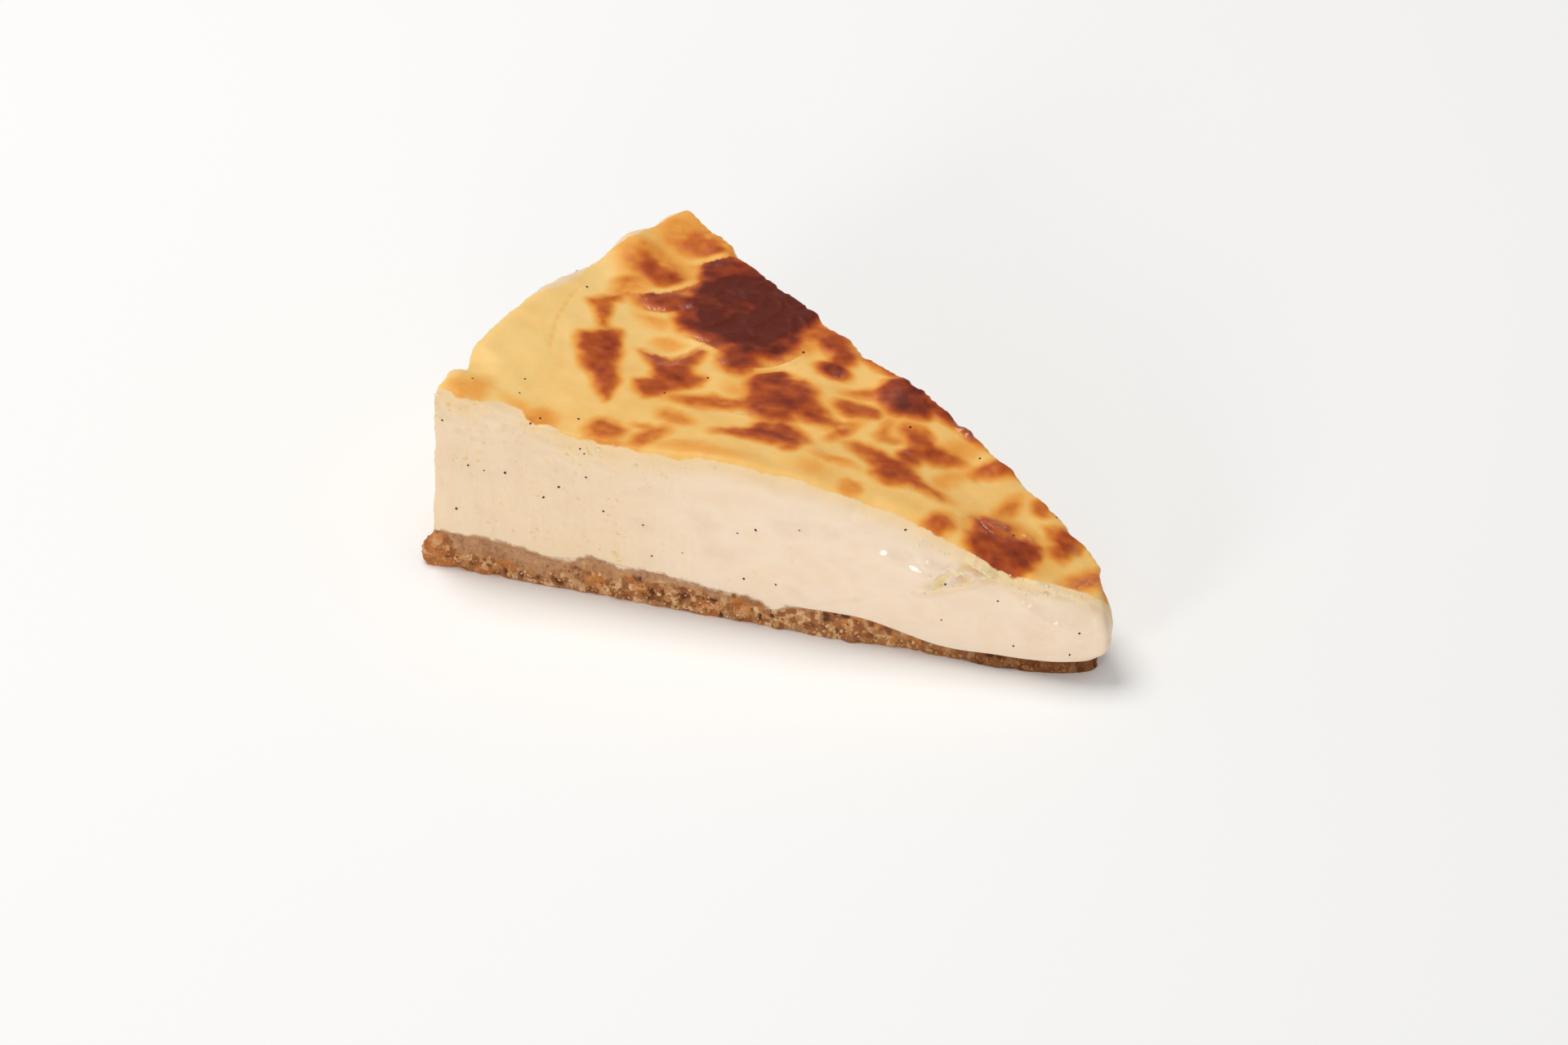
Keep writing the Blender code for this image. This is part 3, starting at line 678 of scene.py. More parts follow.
def filling_shape(t, v, w):
    """The place in the cake of each point (t, v, w) of the box."""
    tip_length = smooth_curve(FILLING_TIP_LENGTH, w)
    tip = FILLING_TIP_START, tip_length, FILLING_TIP_LEAN
    distance, angle, side, gap = in_plan(t, v, RIM_RADIUS, *tip)
    x, y = -distance * np.cos(angle), distance * np.sin(angle)
    front_round = smooth_curve(FRONT_ROUND, distance)
    side_round = front_round + (BACK_ROUND - front_round) * step(-1, 1, side)
    rim_gap = RIM_RADIUS - distance
    fall = rounding((gap, rim_gap), (side_round, np.full_like(x, RIM_ROUND)))
    foot = np.full_like(x, FILLING_FOOT_ROUND)
    along, depth = front_frame(x, y)
    lip = smooth_curve(LIP, along / MM) * MM * hump(depth, LIP_REACH)
    bottom = seam_height(x, y) + rounding((gap, rim_gap), (foot, foot)) - lip
    top = top_height(x, y) - fall
    z = bottom + (top - bottom) * w
    along = distance * np.cos(angle + FRONT_ANGLE)
    x, y = push_sides(x, y, side, front_relief(along, z), ripples(distance, z, BACK_RIPPLES))
    out = rim_relief(angle, z) * np.clip(1 - rim_gap / RIM_REACH, 0, 1) ** 2
    return x - out * np.cos(angle), y + out * np.sin(angle), z


def base_shape(t, v, w):
    """The pressed biscuit before its crumbs. It rises to touch the filling."""
    bulge = BASE_RIM_BULGE * np.sin(math.pi * np.clip(w, 0, 1))
    tip = BASE_TIP_START, BASE_TIP_LENGTH, BASE_TIP_LEAN
    distance, angle, side, gap = in_plan(t, v, BASE_RADIUS, *tip)
    x, y = -distance * np.cos(angle), distance * np.sin(angle)
    rim_gap = BASE_RADIUS - distance
    radii = (np.full_like(x, BASE_EDGE_ROUND), np.full_like(x, BASE_RIM_ROUND))
    top = seam_height(x, y) - rounding((gap, rim_gap), radii)
    z = top * w
    flush = step(1.0, 0.70, w)
    inset = smooth_curve(BASE_INSET, distance / MM) * MM
    along = distance * np.cos(angle + FRONT_ANGLE)
    front = (BASE_SPREAD + ripples(distance, z, BASE_RIPPLES, 0)) * flush - inset
    back = (BASE_SPREAD + ripples(distance, z, BASE_RIPPLES, 4)) * flush
    front = front + (1 - flush) * front_relief(along, z)
    back = back + (1 - flush) * ripples(distance, z, BACK_RIPPLES)
    x, y = push_sides(x, y, side, front, back)
    out = bulge + BASE_SPREAD + ripples(angle * BASE_RADIUS, z, BASE_RIPPLES, 8)
    out = out * np.clip(1 - rim_gap / BASE_RIM_REACH, 0, 1) ** 2
    return x - out * np.cos(angle), y + out * np.sin(angle), z


def scatter(i, j, seed):
    """An even random number from 0 to 1 for each whole-numbered cell, the same on each run."""
    n = (i.astype(np.int64) * 73856093) ^ (j.astype(np.int64) * 19349663) ^ (seed * 83492791)
    n = (n ^ (n >> 13)) * 1274126177 & 0xFFFFFFFF
    n = (n ^ (n >> 15)) * 2246822519 & 0xFFFFFFFF
    return ((n ^ (n >> 13)) & 0xFFFF) / 0xFFFF


def grains(u, v, size, seed):
    """Packed grains: how far each place is from its grain's middle, in sizes, and the grain's number."""
    cell_u, cell_v = np.floor(u / size), np.floor(v / size)
    nearest = np.full(u.shape, 9.0)
    number = np.zeros(u.shape)
    loose = 1 - 2 * GRAIN_MARGIN
    for du in (-1, 0, 1):
        for dv in (-1, 0, 1):
            i, j = cell_u + du, cell_v + dv
            across = i + GRAIN_MARGIN + loose * scatter(i, j, seed) - u / size
            up = j + GRAIN_MARGIN + loose * scatter(i, j, seed + 1) - v / size
            gap = np.hypot(across, up)
            number = np.where(gap < nearest, scatter(i, j, seed + 2), number)
            nearest = np.minimum(nearest, gap)
    return nearest, number


def few_of(number, share):
    """1 for the given share of the grains, 0 for the rest."""
    return (number < share).astype(float)


def pits(u, v, size, seed, falls, deep, share):
    """The depth of small pits in the middles of a share of the grains."""
    nearest, number = grains(u, v, size, seed)
    return deep * step(*falls, nearest) * few_of(number, share)


def turned(u, v, degrees):
    """Two distances carried onto a direction and across it."""
    turn = math.radians(degrees)
    return u * math.cos(turn) + v * math.sin(turn), v * math.cos(turn) - u * math.sin(turn)


def past_outline(x, y, outline):
    """Distance outside a closed outline in millimetres; below 0 is inside it."""
    x, y = x / MM, y / MM
    gap = np.full(x.shape, FAR)
    inside = np.zeros(x.shape, bool)
    for (x0, y0), (x1, y1) in zip(outline, outline[1:] + outline[:1]):
        dx, dy = x1 - x0, y1 - y0
        f = np.clip(((x - x0) * dx + (y - y0) * dy) / (dx * dx + dy * dy), 0, 1)
        gap = np.minimum(gap, np.hypot(x - x0 - f * dx, y - y0 - f * dy))
        if dy != 0:
            inside ^= ((y < y0) != (y < y1)) & (x < x0 + (y - y0) / dy * dx)
    return np.where(inside, -gap, gap)


def patch_browning(depth, soft, outside):
    """The browning of one patch, from the distance outside it in millimetres."""
    soft = soft * PATCH_SOFTNESS
    return depth * step(soft, -soft, outside)


def creases(x, y):
    """Narrow slanting wrinkles of the darkest skin, from 0 to 1."""
    along, across = CREASE_SLANT
    streak = waves(along * (x - y), across * (x + y), *CREASE_WAVES)
    return np.clip(1 - np.abs(streak), 0, 1) ** 2


def browned(x, y, folds, crack):
    """How deeply the skin is browned at each place, from 0 to about 1.2, with painted shade added in the
    troughs of the folds.
    """
    warp_x, warp_y = ripples(x, y, PATCH_WARP), ripples(x, y, PATCH_WARP, 1)
    total = np.zeros_like(x)
    for at_x, at_y, long, wide, turn, depth, soft in PATCHES:
        u, v = turned((x + warp_x) / MM - at_x, (y + warp_y) / MM - at_y, turn)
        outside = (np.hypot(u / long, v / wide) - 1) * min(long, wide) - PATCH_SWELL
        total += patch_browning(depth, soft, outside) ** PATCH_MERGE
    for depth, soft, outline in OUTLINES:
        outside = past_outline(x + OUTLINE_WARP * warp_x, y + OUTLINE_WARP * warp_y, outline)
        total += patch_browning(depth, soft, outside) ** PATCH_MERGE
    depth = total ** (1 / PATCH_MERGE)
    depth += ripples(x, y, PATCH_MOTTLE) * step(*MOTTLED, depth)
    depth += GOLDEN * step(*GOLDEN_FROM, x)
    depth -= STREAK_PALENESS * step(*WRINKLED, depth) * creases(x, y)
    # each fold's trough is browned a little deeper: painted shade
    dark_at, dark_width, darker = FOLD_TROUGH_SHADE
    for (signed, fade), (*_, paleness) in zip(folds, FOLDS):
        pale = plateau(*FOLD_PALE, signed)
        dark = hump(signed + dark_at, dark_width)
        depth = depth * (1 - paleness * fade * pale) + darker * fade * dark
    signed, fade = crack
    return depth + CRACK_BROWNING * fade * hump(signed, CRACK_WIDTH)


def bent_line(start, bend, end):
    f = np.linspace(0, 1, FOLD_STEPS)[:, None]
    return np.array(start) * (1 - f) ** 2 + np.array(bend) * 2 * f * (1 - f) + np.array(end) * f**2


def to_line(u, v, points):
    """Distance to a bent line in millimetres, signed by its side, and a fading towards its two ends."""
    line = bent_line(*points)
    heading = np.gradient(line, axis=0)
    heading /= np.linalg.norm(heading, axis=1)[:, None]
    best = np.full(u.shape, FAR)
    signed = np.zeros(u.shape)
    fade = np.zeros(u.shape)
    for k in range(FOLD_STEPS):
        du, dv = u / MM - line[k, 0], v / MM - line[k, 1]
        gap = np.hypot(du, dv)
        closer = gap < best
        side = heading[k, 0] * dv - heading[k, 1] * du
        signed = np.where(closer, np.copysign(gap, side), signed)
        fade = np.where(closer, math.sin(math.pi * (k + 0.5) / FOLD_STEPS) ** 0.5, fade)
        best = np.minimum(best, gap)
    return signed, fade


def spots(u, v, places):
    """Soft oval spots: each place is two coordinates, half sizes, turn and strength."""
    strongest = np.zeros(u.shape)
    for at_u, at_v, long, wide, turn, strength in places:
        across, up = turned(u / MM - at_u, v / MM - at_v, turn)
        strongest = np.maximum(strongest, strength * step(*SPOT_EDGE, np.hypot(across / long, up / wide)))
    return strongest


def skin_reach(x, y, z):
    """How far each place lies inside the edge of the skin, in millimetres; below 0 is bare cream."""
    along, depth = front_frame(x, y)
    front = ((depth + z) / MM - smooth_curve(SKIN_EDGE, along / MM)) * SKIN_EDGE_SLOPE
    top = top_height(x, y) / MM
    distance, angle = np.hypot(x, y), np.arctan2(y, -x)
    back = (back_depth(x, y) + z) / MM - top + SKIN_DROP
    back = back + NOSE_SKIN_DROP * step(*NOSE_FROM, distance)
    drop = smooth_curve(RIM_SKIN_DROP, angle * RIM_RADIUS / MM)
    rim = (RIM_RADIUS - distance + z) / MM - top + drop
    return np.minimum(front, np.minimum(back, rim)) + ripples(x + z, y, SKIN_WAVER)


def facing(normal):
    """How far each point faces up, out of the front cut, out of the back cut."""
    up = step(*FACES_UP, normal[:, 2])
    front = step(*FACES, normal[:, 0] * math.sin(FRONT_ANGLE) - normal[:, 1] * math.cos(FRONT_ANGLE))
    back = step(*FACES, normal[:, 0] * math.sin(BACK_ANGLE) + normal[:, 1] * math.cos(BACK_ANGLE))
    return up, front, back


def skin_relief(x, y, browning, folds, crack):
    """Blisters, folds and creases of the skin, with where it shines."""
    lift = BLISTER * step(*BLISTERED, browning) + WRINKLE * step(*WRINKLED, browning) * creases(x, y)
    lift += ripples(x, y, SKIN_WAVES)
    shine = spots(x, y, SHINES)
    lift += step(*GLAZED, shine) * ripples(x, y, GLAZE_WAVES)
    trough_at, trough_width, trough_share = FOLD_TROUGH
    for (signed, fade), (*_, high, _) in zip(folds, FOLDS):
        ridge = hump(signed - FOLD_RIDGE_AT, FOLD_WIDTH)
        trough = hump(signed + trough_at, trough_width)
        lift += high * MM * fade * (ridge - trough_share * trough)
        shine = np.maximum(shine, min(1.0, 2 * high) * fade * hump(signed + FOLD_SHINE_AT, 1.0))
    signed, fade = crack
    return lift - CRACK_DEPTH * fade * hump(signed, CRACK_WIDTH), shine


def torn_share(along, z):
    """1 where the front cut is torn, 0 where it is smooth."""
    places, low, high = np.array(TORN).T
    low = np.interp(along / MM, places, low) - z / MM
    high = z / MM - np.interp(along / MM, places, high)
    return step(*TORN_EDGE, np.maximum(low, high)) * plateau(*TORN_ALONG, along)


def wet_mounds(along, z):
    """The low swellings of the front cut that catch the light, outwards."""
    rise, below, reach_long, reach_up = FRONT_MOUND
    mound = np.zeros_like(z)
    for at, height, long, _, turn, strength in FRONT_SHINES:
        across = along / MM - at
        up = z / MM - height + below + across * math.tan(math.radians(turn))
        distance = np.hypot(across / (reach_long * long), up / reach_up)
        mound = np.maximum(mound, rise * strength * hump(distance, 1.0))
    return mound * MM


def front_cut_relief(along, z, reach):
    """Knife marks, pits, drag marks and the torn ridges of the front cut, with where it shines."""
    lift = ripples(along, z, FRONT_CUT_WAVES)
    dragged = plateau(*DRAGGED_ALONG, along) * plateau(*DRAGGED_HEIGHTS, z)
    lift += dragged * ripples(along, z * DRAG_UPRIGHT, DRAG_WAVES)
    grainy = step(*GRAINY_FROM, along)
    lift += grainy * (ripples(along, z, GRAINY_WAVES) - pits(along, z, *FRONT_PITS))
    torn = ripples(along * 0.7, z, TORN_WAVES) + ripples(along, z, TORN_FINE_WAVES)
    lift += torn_share(along, z) * torn
    trough_at, trough_width, trough_share = RIDGE_TROUGH
    for *points, high in FRONT_RIDGES:
        signed, fade = to_line(along, z, points)
        ridge = hump(signed, RIDGE_WIDTH) - trough_share * hump(signed - trough_at, trough_width)
        lift += RIDGE_HEIGHT * high * MM * fade * ridge
    at, at_height, (aslant, upright), deep, width = CUT_CREASE
    crease = np.abs((along - at) * aslant + (z - at_height) * upright)
    lift -= deep * hump(crease, width) * plateau(*CUT_CREASE_ALONG, along)
    lift += SKIN_STEP * step(-0.5, 0.3, reach) * step(*SKIN_STEP_FROM, along)
    fibrous = plateau(*FIBROUS_ALONG, along) * step(*FIBROUS_REACH, reach)
    lift += fibrous * (ripples(along * 0.6, z, FIBRE_WAVES) + ripples(along, z, FIBRE_FINE_WAVES))
    return lift + wet_mounds(along, z), spots(along, z, FRONT_SHINES)


def back_edge_relief(x, y, z, distance):
    """The ragged, notched edge between the skin and the back cut, outwards."""
    top = top_height(x, y)
    near_edge = hump(back_depth(x, y) / MM, EDGE_REACH) * hump((top - z) / MM, EDGE_REACH)
    lift = near_edge * ripples(distance, 0 * distance, EDGE_RAGGED)
    for at, deep in NOTCHES:
        bearing = BACK_ANGLE - math.asin(BACK_MISS / (at * MM))
        gap = np.hypot(x + at * MM * math.cos(bearing), y - at * MM * math.sin(bearing))
        lift -= deep * MM * hump(np.hypot(gap, (z - top) * NOTCH_UPRIGHT), NOTCH_REACH)
    return lift


def cheese_relief(x, y, z, normal, browning, reach, folds, crack):
    """Fine relief of the cheese, outwards, with where it shines."""
    up, front, back = facing(normal)
    distance, angle = np.hypot(x, y), np.arctan2(y, -x)
    rim = step(*FACES, (normal[:, 0] * x + normal[:, 1] * y) / distance)
    nose = step(*FACES, normal[:, 0])
    along, _ = front_frame(x, y)
    around = angle * RIM_RADIUS
    top, top_shine = skin_relief(x, y, browning, folds, crack)
    cut, cut_shine = front_cut_relief(along, z, reach)
    cut_back = ripples(distance, z, BACK_CUT_WAVES) - pits(distance, z, *BACK_PITS)
    standing = sum(out * MM * hump(z / MM - height, reach_up) for height, out, reach_up in NOSE_PROFILE)
    wall = ripples(around, z * 0.5, WALL_WAVES) + ripples(around, z, WALL_FINE_WAVES)
    lift = up * top + front * cut + back * cut_back + (front + back) * nose * standing + rim * wall
    return lift + back_edge_relief(x, y, z, distance), np.maximum(up * top_shine, front * cut_shine)


def biscuit_relief(x, y, z, normal):
    """Relief of the pressed crumbs, outwards, with how smeared and deep and of which crumb a place is."""
    distance, angle = np.hypot(x, y), np.arctan2(y, -x)
    _, front, back = facing(normal)
    below = step(*FACES, -normal[:, 2])
    around = np.where(below > 0.5, x, np.where(front + back > 0.5, distance, angle * BASE_RADIUS))
    height = np.where(below > 0.5, y, z)
    share = z / seam_height(x, y)
    smeared_from = smooth_curve(SMEARED_FROM, distance / MM)
    smear = step(smeared_from, smeared_from + SMEAR_BLEND, share + ripples(distance, z, SMEAR_WAVER))
    smear = smear * np.maximum(front, back) * (1 - below)
    coarse, lump = grains(around + ripples(around, height, LUMP_WARP), height, *LUMP_GRAINS)
    middle, crumb = grains(around, height, *CRUMB_GRAINS)
    fine, _ = grains(around, height, *FINE_GRAINS)
    bumps = sum(high * (at - gap) for gap, (high, at) in zip((coarse, middle, fine), CRUMB_BUMPS))
    holes = LUMP_PITS[0] * few_of(lump, LUMP_PITS[1]) * step(*PIT_FALLS, coarse)
    holes = holes + CRUMB_PITS[0] * few_of(crumb, CRUMB_PITS[1]) * step(*PIT_FALLS, middle)
    rough = (bumps - holes) * (1 - SMEAR_SMOOTHS * smear) * (1 - FLOOR_SMOOTHS * below)
    rough = rough * (1 - SEAM_SMOOTHS * step(*NEAR_SEAM, share))
    smooth = smear * step(1.0, 0.9, share) * ripples(around, height, SMEAR_WAVES)
    return rough + smooth, smear, np.clip((bumps - holes) / DEPTH_UNIT, -2, 1), lump, crumb


def box_of_grids(cuts):
    """A unit box whose faces are grids with the given number of cells along x, y and z."""
    bm = bmesh.new()
    bmesh.ops.create_cube(bm, size=1.0)
    for axis, count in enumerate(cuts):
        along = [e for e in bm.edges if abs(e.verts[0].co[axis] - e.verts[1].co[axis]) > 0.5]
        bmesh.ops.subdivide_edges(bm, edges=along, cuts=count - 1)
    return bm


def place_points(mesh, x, y, z):
    """Sets a mesh's points, given from the cake's centre."""
    placed = np.stack([x + CENTRE[0], y + CENTRE[1], z], axis=-1)
    mesh.vertices.foreach_set("co", placed.astype(np.float32).ravel())
    mesh.update()


def normals_of(mesh):
    normals = np.empty(len(mesh.vertices) * 3, np.float32)
    mesh.vertex_normals.foreach_get("vector", normals)
    return normals.reshape(-1, 3).astype(float)


def set_attribute(mesh, name, values):
    attribute = mesh.attributes.new(name, "FLOAT", "POINT")
    attribute.data.foreach_set("value", np.asarray(values, np.float32))


def make_grid_piece(name, cuts, shape):
    """A box of grids carried into the slice by its shape function, with each point's place in the box."""
    bm = box_of_grids(cuts)
    mesh = bpy.data.meshes.new(name)
    bm.to_mesh(mesh)
    bm.free()
    box = np.empty(len(mesh.vertices) * 3, np.float32)
    mesh.vertices.foreach_get("co", box)
    box = box.reshape(-1, 3).astype(float)
    x, y, z = shape(box[:, 0] + 0.5, crowd(2 * box[:, 1], EDGE_CROWDING), box[:, 2] + 0.5)
    place_points(mesh, x, y, z)
    mesh.shade_smooth()
    piece = bpy.data.objects.new(name, mesh)
    bpy.context.collection.objects.link(piece)
    return piece, x, y, z, box


def thin_hidden(piece, hidden):
    """Fewer triangles on the face where the two pieces meet, applied to the mesh."""
    group = piece.vertex_groups.new(name="hidden")
    group.add([int(k) for k in np.flatnonzero(hidden)], 1.0, "REPLACE")
    mesh = piece.data
    mesh.calc_loop_triangles()
    total = len(mesh.loop_triangles)
    corners = np.empty(total * 3, np.int32)
    mesh.loop_triangles.foreach_get("vertices", corners)
    inside = hidden[corners.reshape(-1, 3)].all(axis=1).sum()
    thin = piece.modifiers.new("Fewer triangles", "DECIMATE")
    thin.ratio = 1 - (1 - HIDDEN_KEEP) * inside / total
    thin.vertex_group = group.name
    graph = bpy.context.evaluated_depsgraph_get()
    made = bpy.data.meshes.new_from_object(piece.evaluated_get(graph))
    piece.modifiers.clear()
    piece.data = made
    bpy.data.meshes.remove(mesh)
    made.shade_smooth()
    made.set_sharp_from_angle(angle=SHARP_FROM)


def meeting_face(box, top, margin):
    """The points where the two pieces meet, away from the edges: on the top or the underside of the box."""
    height = box[:, 2] if top else -box[:, 2]
    across, along = np.abs(box[:, 1]), np.abs(box[:, 0] + MEETING_SHIFT)
    return (height > 0.499) & (across < 0.5 - margin) & (along < 0.5 - MEETING_END_MARGIN)


def above_smear(x, y, z, front):
    """Height above the line where the cream turns into brown smear, in millimetres."""
    along, _ = front_frame(x, y)
    line = front * smooth_curve(SMEAR_LINE, along / MM) * step(*SMEAR_LINE_FROM, along)
    return (z - seam_height(x, y)) / MM - line


def filmed(along):
    """How much cream and crumb smear into each other at the seam, less towards the tip."""
    return LEAST_FILM + (1 - LEAST_FILM) * step(*FILM_FROM, along)


def make_cheese():
    """The cheese in one closed piece, browned skin and cut cream together."""
    piece, x, y, z, box = make_grid_piece("baked_cheese", CHEESE_CUTS, filling_shape)
    mesh = piece.data
    normal = normals_of(mesh)
    folds = [to_line(x, y, fold[:3]) for fold in FOLDS]
    crack = to_line(x, y, CRACK)
    browning, reach = browned(x, y, folds, crack), skin_reach(x, y, z)
    lift, wet = cheese_relief(x, y, z, normal, browning, reach, folds, crack)
    lift = lift * step(*SEAM_STILL, box[:, 2] + 0.5)
    place_points(mesh, x + lift * normal[:, 0], y + lift * normal[:, 1], z + lift * normal[:, 2])
    along, _ = front_frame(x, y)
    front = facing(normal)[1]
    outwards = (normal[:, 0] * x + normal[:, 1] * y) / np.hypot(x, y)
    set_attribute(mesh, "browning", browning)
    set_attribute(mesh, "skin", reach)
    set_attribute(mesh, "wet", wet)
    set_attribute(mesh, "torn", torn_share(along, z) * front)
    set_attribute(mesh, "grainy", step(*GRAINY_TONE_FROM, along) * front)
    set_attribute(mesh, "above", above_smear(x, y, z, front) + NO_FILM * (1 - filmed(along)))
    set_attribute(mesh, "wall", step(*FACES, outwards) * step(*WALL_FROM, x))
    thin_hidden(piece, meeting_face(box, False, CHEESE_MEETING_MARGIN))
    return piece


def tip_shade_share(distance):
    """The biscuit is darkened towards the tip: painted shade, for the shade under the cream that hangs over
    it there.
    """
    return step(*TIP_SHADE_FROM, distance)


def make_biscuit():
    """The pressed biscuit with its crumbs, standing flat."""
    piece, x, y, z, box = make_grid_piece("biscuit_crumb", BISCUIT_CUTS, base_shape)
    mesh = piece.data
    normal = normals_of(mesh)
    lift, smear, depth, lump, crumb = biscuit_relief(x, y, z, normal)
    hidden = meeting_face(box, True, BISCUIT_MEETING_MARGIN)
    lift = np.where(hidden, 0, lift)
    lifted_z = np.maximum(z + lift * normal[:, 2], 0)
    lifted_z = np.where(box[:, 2] < -0.499, np.maximum(-lift * UNDERSIDE_RELIEF, 0), lifted_z)
    place_points(mesh, x + lift * normal[:, 0], y + lift * normal[:, 1], lifted_z)
    set_attribute(mesh, "smear", smear)
    set_attribute(mesh, "depth", depth)
    set_attribute(mesh, "lump", lump)
    set_attribute(mesh, "crumb", crumb)
    along, _ = front_frame(x, y)
    unfilmed = 1 - filmed(along) * step(*FILM_ENDS, along)
    set_attribute(mesh, "above", above_smear(x, y, z, facing(normal)[1]) - NO_FILM * unfilmed)
    set_attribute(mesh, "tip_shade", tip_shade_share(np.hypot(x, y)))
    set_attribute(mesh, "outer", step(*OUTER_FROM, np.hypot(x, y)))
    thin_hidden(piece, hidden)
    return piece


def rock_mesh(rng, rounds):
    """A small uneven lump about one unit across."""
    bm = bmesh.new()
    bmesh.ops.create_icosphere(bm, subdivisions=rounds, radius=0.5)
    points = np.array([v.co for v in bm.verts])
    for _ in range(ROCK_FACETS):
        facet = rng.normal(size=3)
        facet /= np.linalg.norm(facet)
        over = np.clip(points @ facet - rng.uniform(*ROCK_FACET_AT), 0, None)
        points -= over[:, None] * facet * ROCK_FLATTENING
    points *= 1 + rng.uniform(-ROCK_UNEVEN, ROCK_UNEVEN, (len(points), 1))
    faces = np.array([[v.index for v in f.verts] for f in bm.faces])
    bm.free()
    return points, faces


def scattered(name, places, sizes, flatness, tones, seed, rounds=2):
    """Many small lumps in one mesh. Each place is a point and the direction that it faces."""
    rng = np.random.default_rng(seed)
    kinds = [rock_mesh(rng, rounds) for _ in range(ROCK_KINDS)]
    points, faces, shades, count = [], [], [], 0
    for (at, faced), size, tone in zip(places, sizes, tones):
        shape, own = kinds[rng.integers(len(kinds))]
        turn = faced.to_track_quat("Z", "Y").to_matrix() @ Matrix.Rotation(rng.uniform(0, 6.28), 3, "Z")
        stretch = np.array([rng.uniform(0.8, 1.3), rng.uniform(0.8, 1.1), flatness])
        points.append((shape * stretch * size) @ np.array(turn).T + np.array(at))
        faces.append(own + count)
        shades.append(np.full(len(shape), tone))
        count += len(shape)
    mesh = bpy.data.meshes.new(name)
    mesh.from_pydata(np.concatenate(points).tolist(), [], np.concatenate(faces).tolist())
    set_attribute(mesh, "tone", np.concatenate(shades))
    mesh.shade_smooth()
    piece = bpy.data.objects.new(name, mesh)
    bpy.context.collection.objects.link(piece)
    return piece


def tree_of(piece):
    mesh = piece.data
    corners = [v.co.copy() for v in mesh.vertices]
    return BVHTree.FromPolygons(corners, [p.vertices[:] for p in mesh.polygons])


def met(surface, x, y, height, inwards):
    """Where a line to a place given from the cake's centre first meets the surface, and how that faces."""
    start = Vector((CENTRE[0] + x, CENTRE[1] + y, height)) - inwards * CLEAR
    return surface.ray_cast(start, inwards)[:2]


def on_front(surface, along, height):
    """The point of the front cut at that place along it and that height."""
    x, y = -along * math.cos(FRONT_ANGLE), -along * math.sin(FRONT_ANGLE)
    return met(surface, x, y, height, Vector((-math.sin(FRONT_ANGLE), math.cos(FRONT_ANGLE), 0)))


def on_back(surface, along, height):
    bearing = BACK_ANGLE - math.asin(BACK_MISS / along)
    x, y = -along * math.cos(bearing), along * math.sin(bearing)
    return met(surface, x, y, height, Vector((-math.sin(BACK_ANGLE), -math.cos(BACK_ANGLE), 0)))


def on_rim(surface, angle, height):
    inwards = Vector((math.cos(angle), -math.sin(angle), 0))
    return met(surface, -RIM_RADIUS * inwards.x, -RIM_RADIUS * inwards.y, height, inwards)


def on_skin(surface, x, y):
    return met(surface, x, y, ABOVE_SKIN, Vector((0, 0, -1)))


def found(places):
    """The places that met the surface."""
    return [place for place in places if place[0] is not None]


def skin_edge_height(along):
    return float(smooth_curve(SKIN_EDGE, np.array([along / MM]))[0]) * MM


def make_seeds(surface):
    """Black specks of vanilla in the cream and the skin."""
    rng = np.random.default_rng(201)
    places = [on_front(surface, along * MM, height * MM) for along, height in FRONT_SEEDS]
    places += [on_skin(surface, x * MM, y * MM) for x, y in SKIN_SEEDS]
    for _ in range(HIDDEN_SEEDS):
        pick = rng.uniform()
        if pick < SEEDS_ON_BACK:
            places.append(on_back(surface, rng.uniform(0.032, 0.135), rng.uniform(0.008, 0.026)))
        elif pick < SEEDS_ON_BACK + SEEDS_ON_RIM:
            places.append(on_rim(surface, rng.uniform(-0.25, 0.24), rng.uniform(0.009, 0.030)))
        else:
            places.append(on_front(surface, rng.uniform(0.03, 0.135), rng.uniform(0.008, 0.026)))
    places = found(places)
    sizes = rng.uniform(*SEED_SIZES, len(places)) * 2
    piece = scattered("vanilla_seeds", places, sizes, 0.7, np.zeros(len(places)), 203, rounds=1)
    piece.data.materials.append(seed_material())
    return piece


def make_cheese_crumbs(surface):
    """Frayed bits of cheese along the torn ridges and below the edge of the skin."""
    rng = np.random.default_rng(221)
    places = []
    for *points, _ in FRONT_RIDGES:
        line = bent_line(*points)
        for _ in range(BITS_PER_RIDGE):
            along, height = line[rng.integers(len(line))] * MM + rng.normal(0, 0.00035, 2)
            places.append(on_front(surface, along, height))
    for count, nearest, farthest, below, spread_down in FRAYED:
        for _ in range(count):
            along = rng.uniform(nearest, farthest)
            height = skin_edge_height(along) - below - abs(rng.normal(0, spread_down))
            places.append(on_front(surface, along, height))
    outwards = Vector((math.sin(FRONT_ANGLE), -math.cos(FRONT_ANGLE), 0))
    places = [(at - faced * BIT_SINK, faced) for at, faced in found(places) if faced.dot(outwards) > 0.5]
    sizes = np.clip(rng.lognormal(math.log(BIT_SIZE), 0.45, len(places)), 0.0002, 0.0010)
    tones = rng.uniform(0, 1, len(places))
    piece = scattered("cheese_crumbs", places, sizes, 0.7, tones, 223)
    piece.data.materials.append(cheese_crumb_material())
    return piece


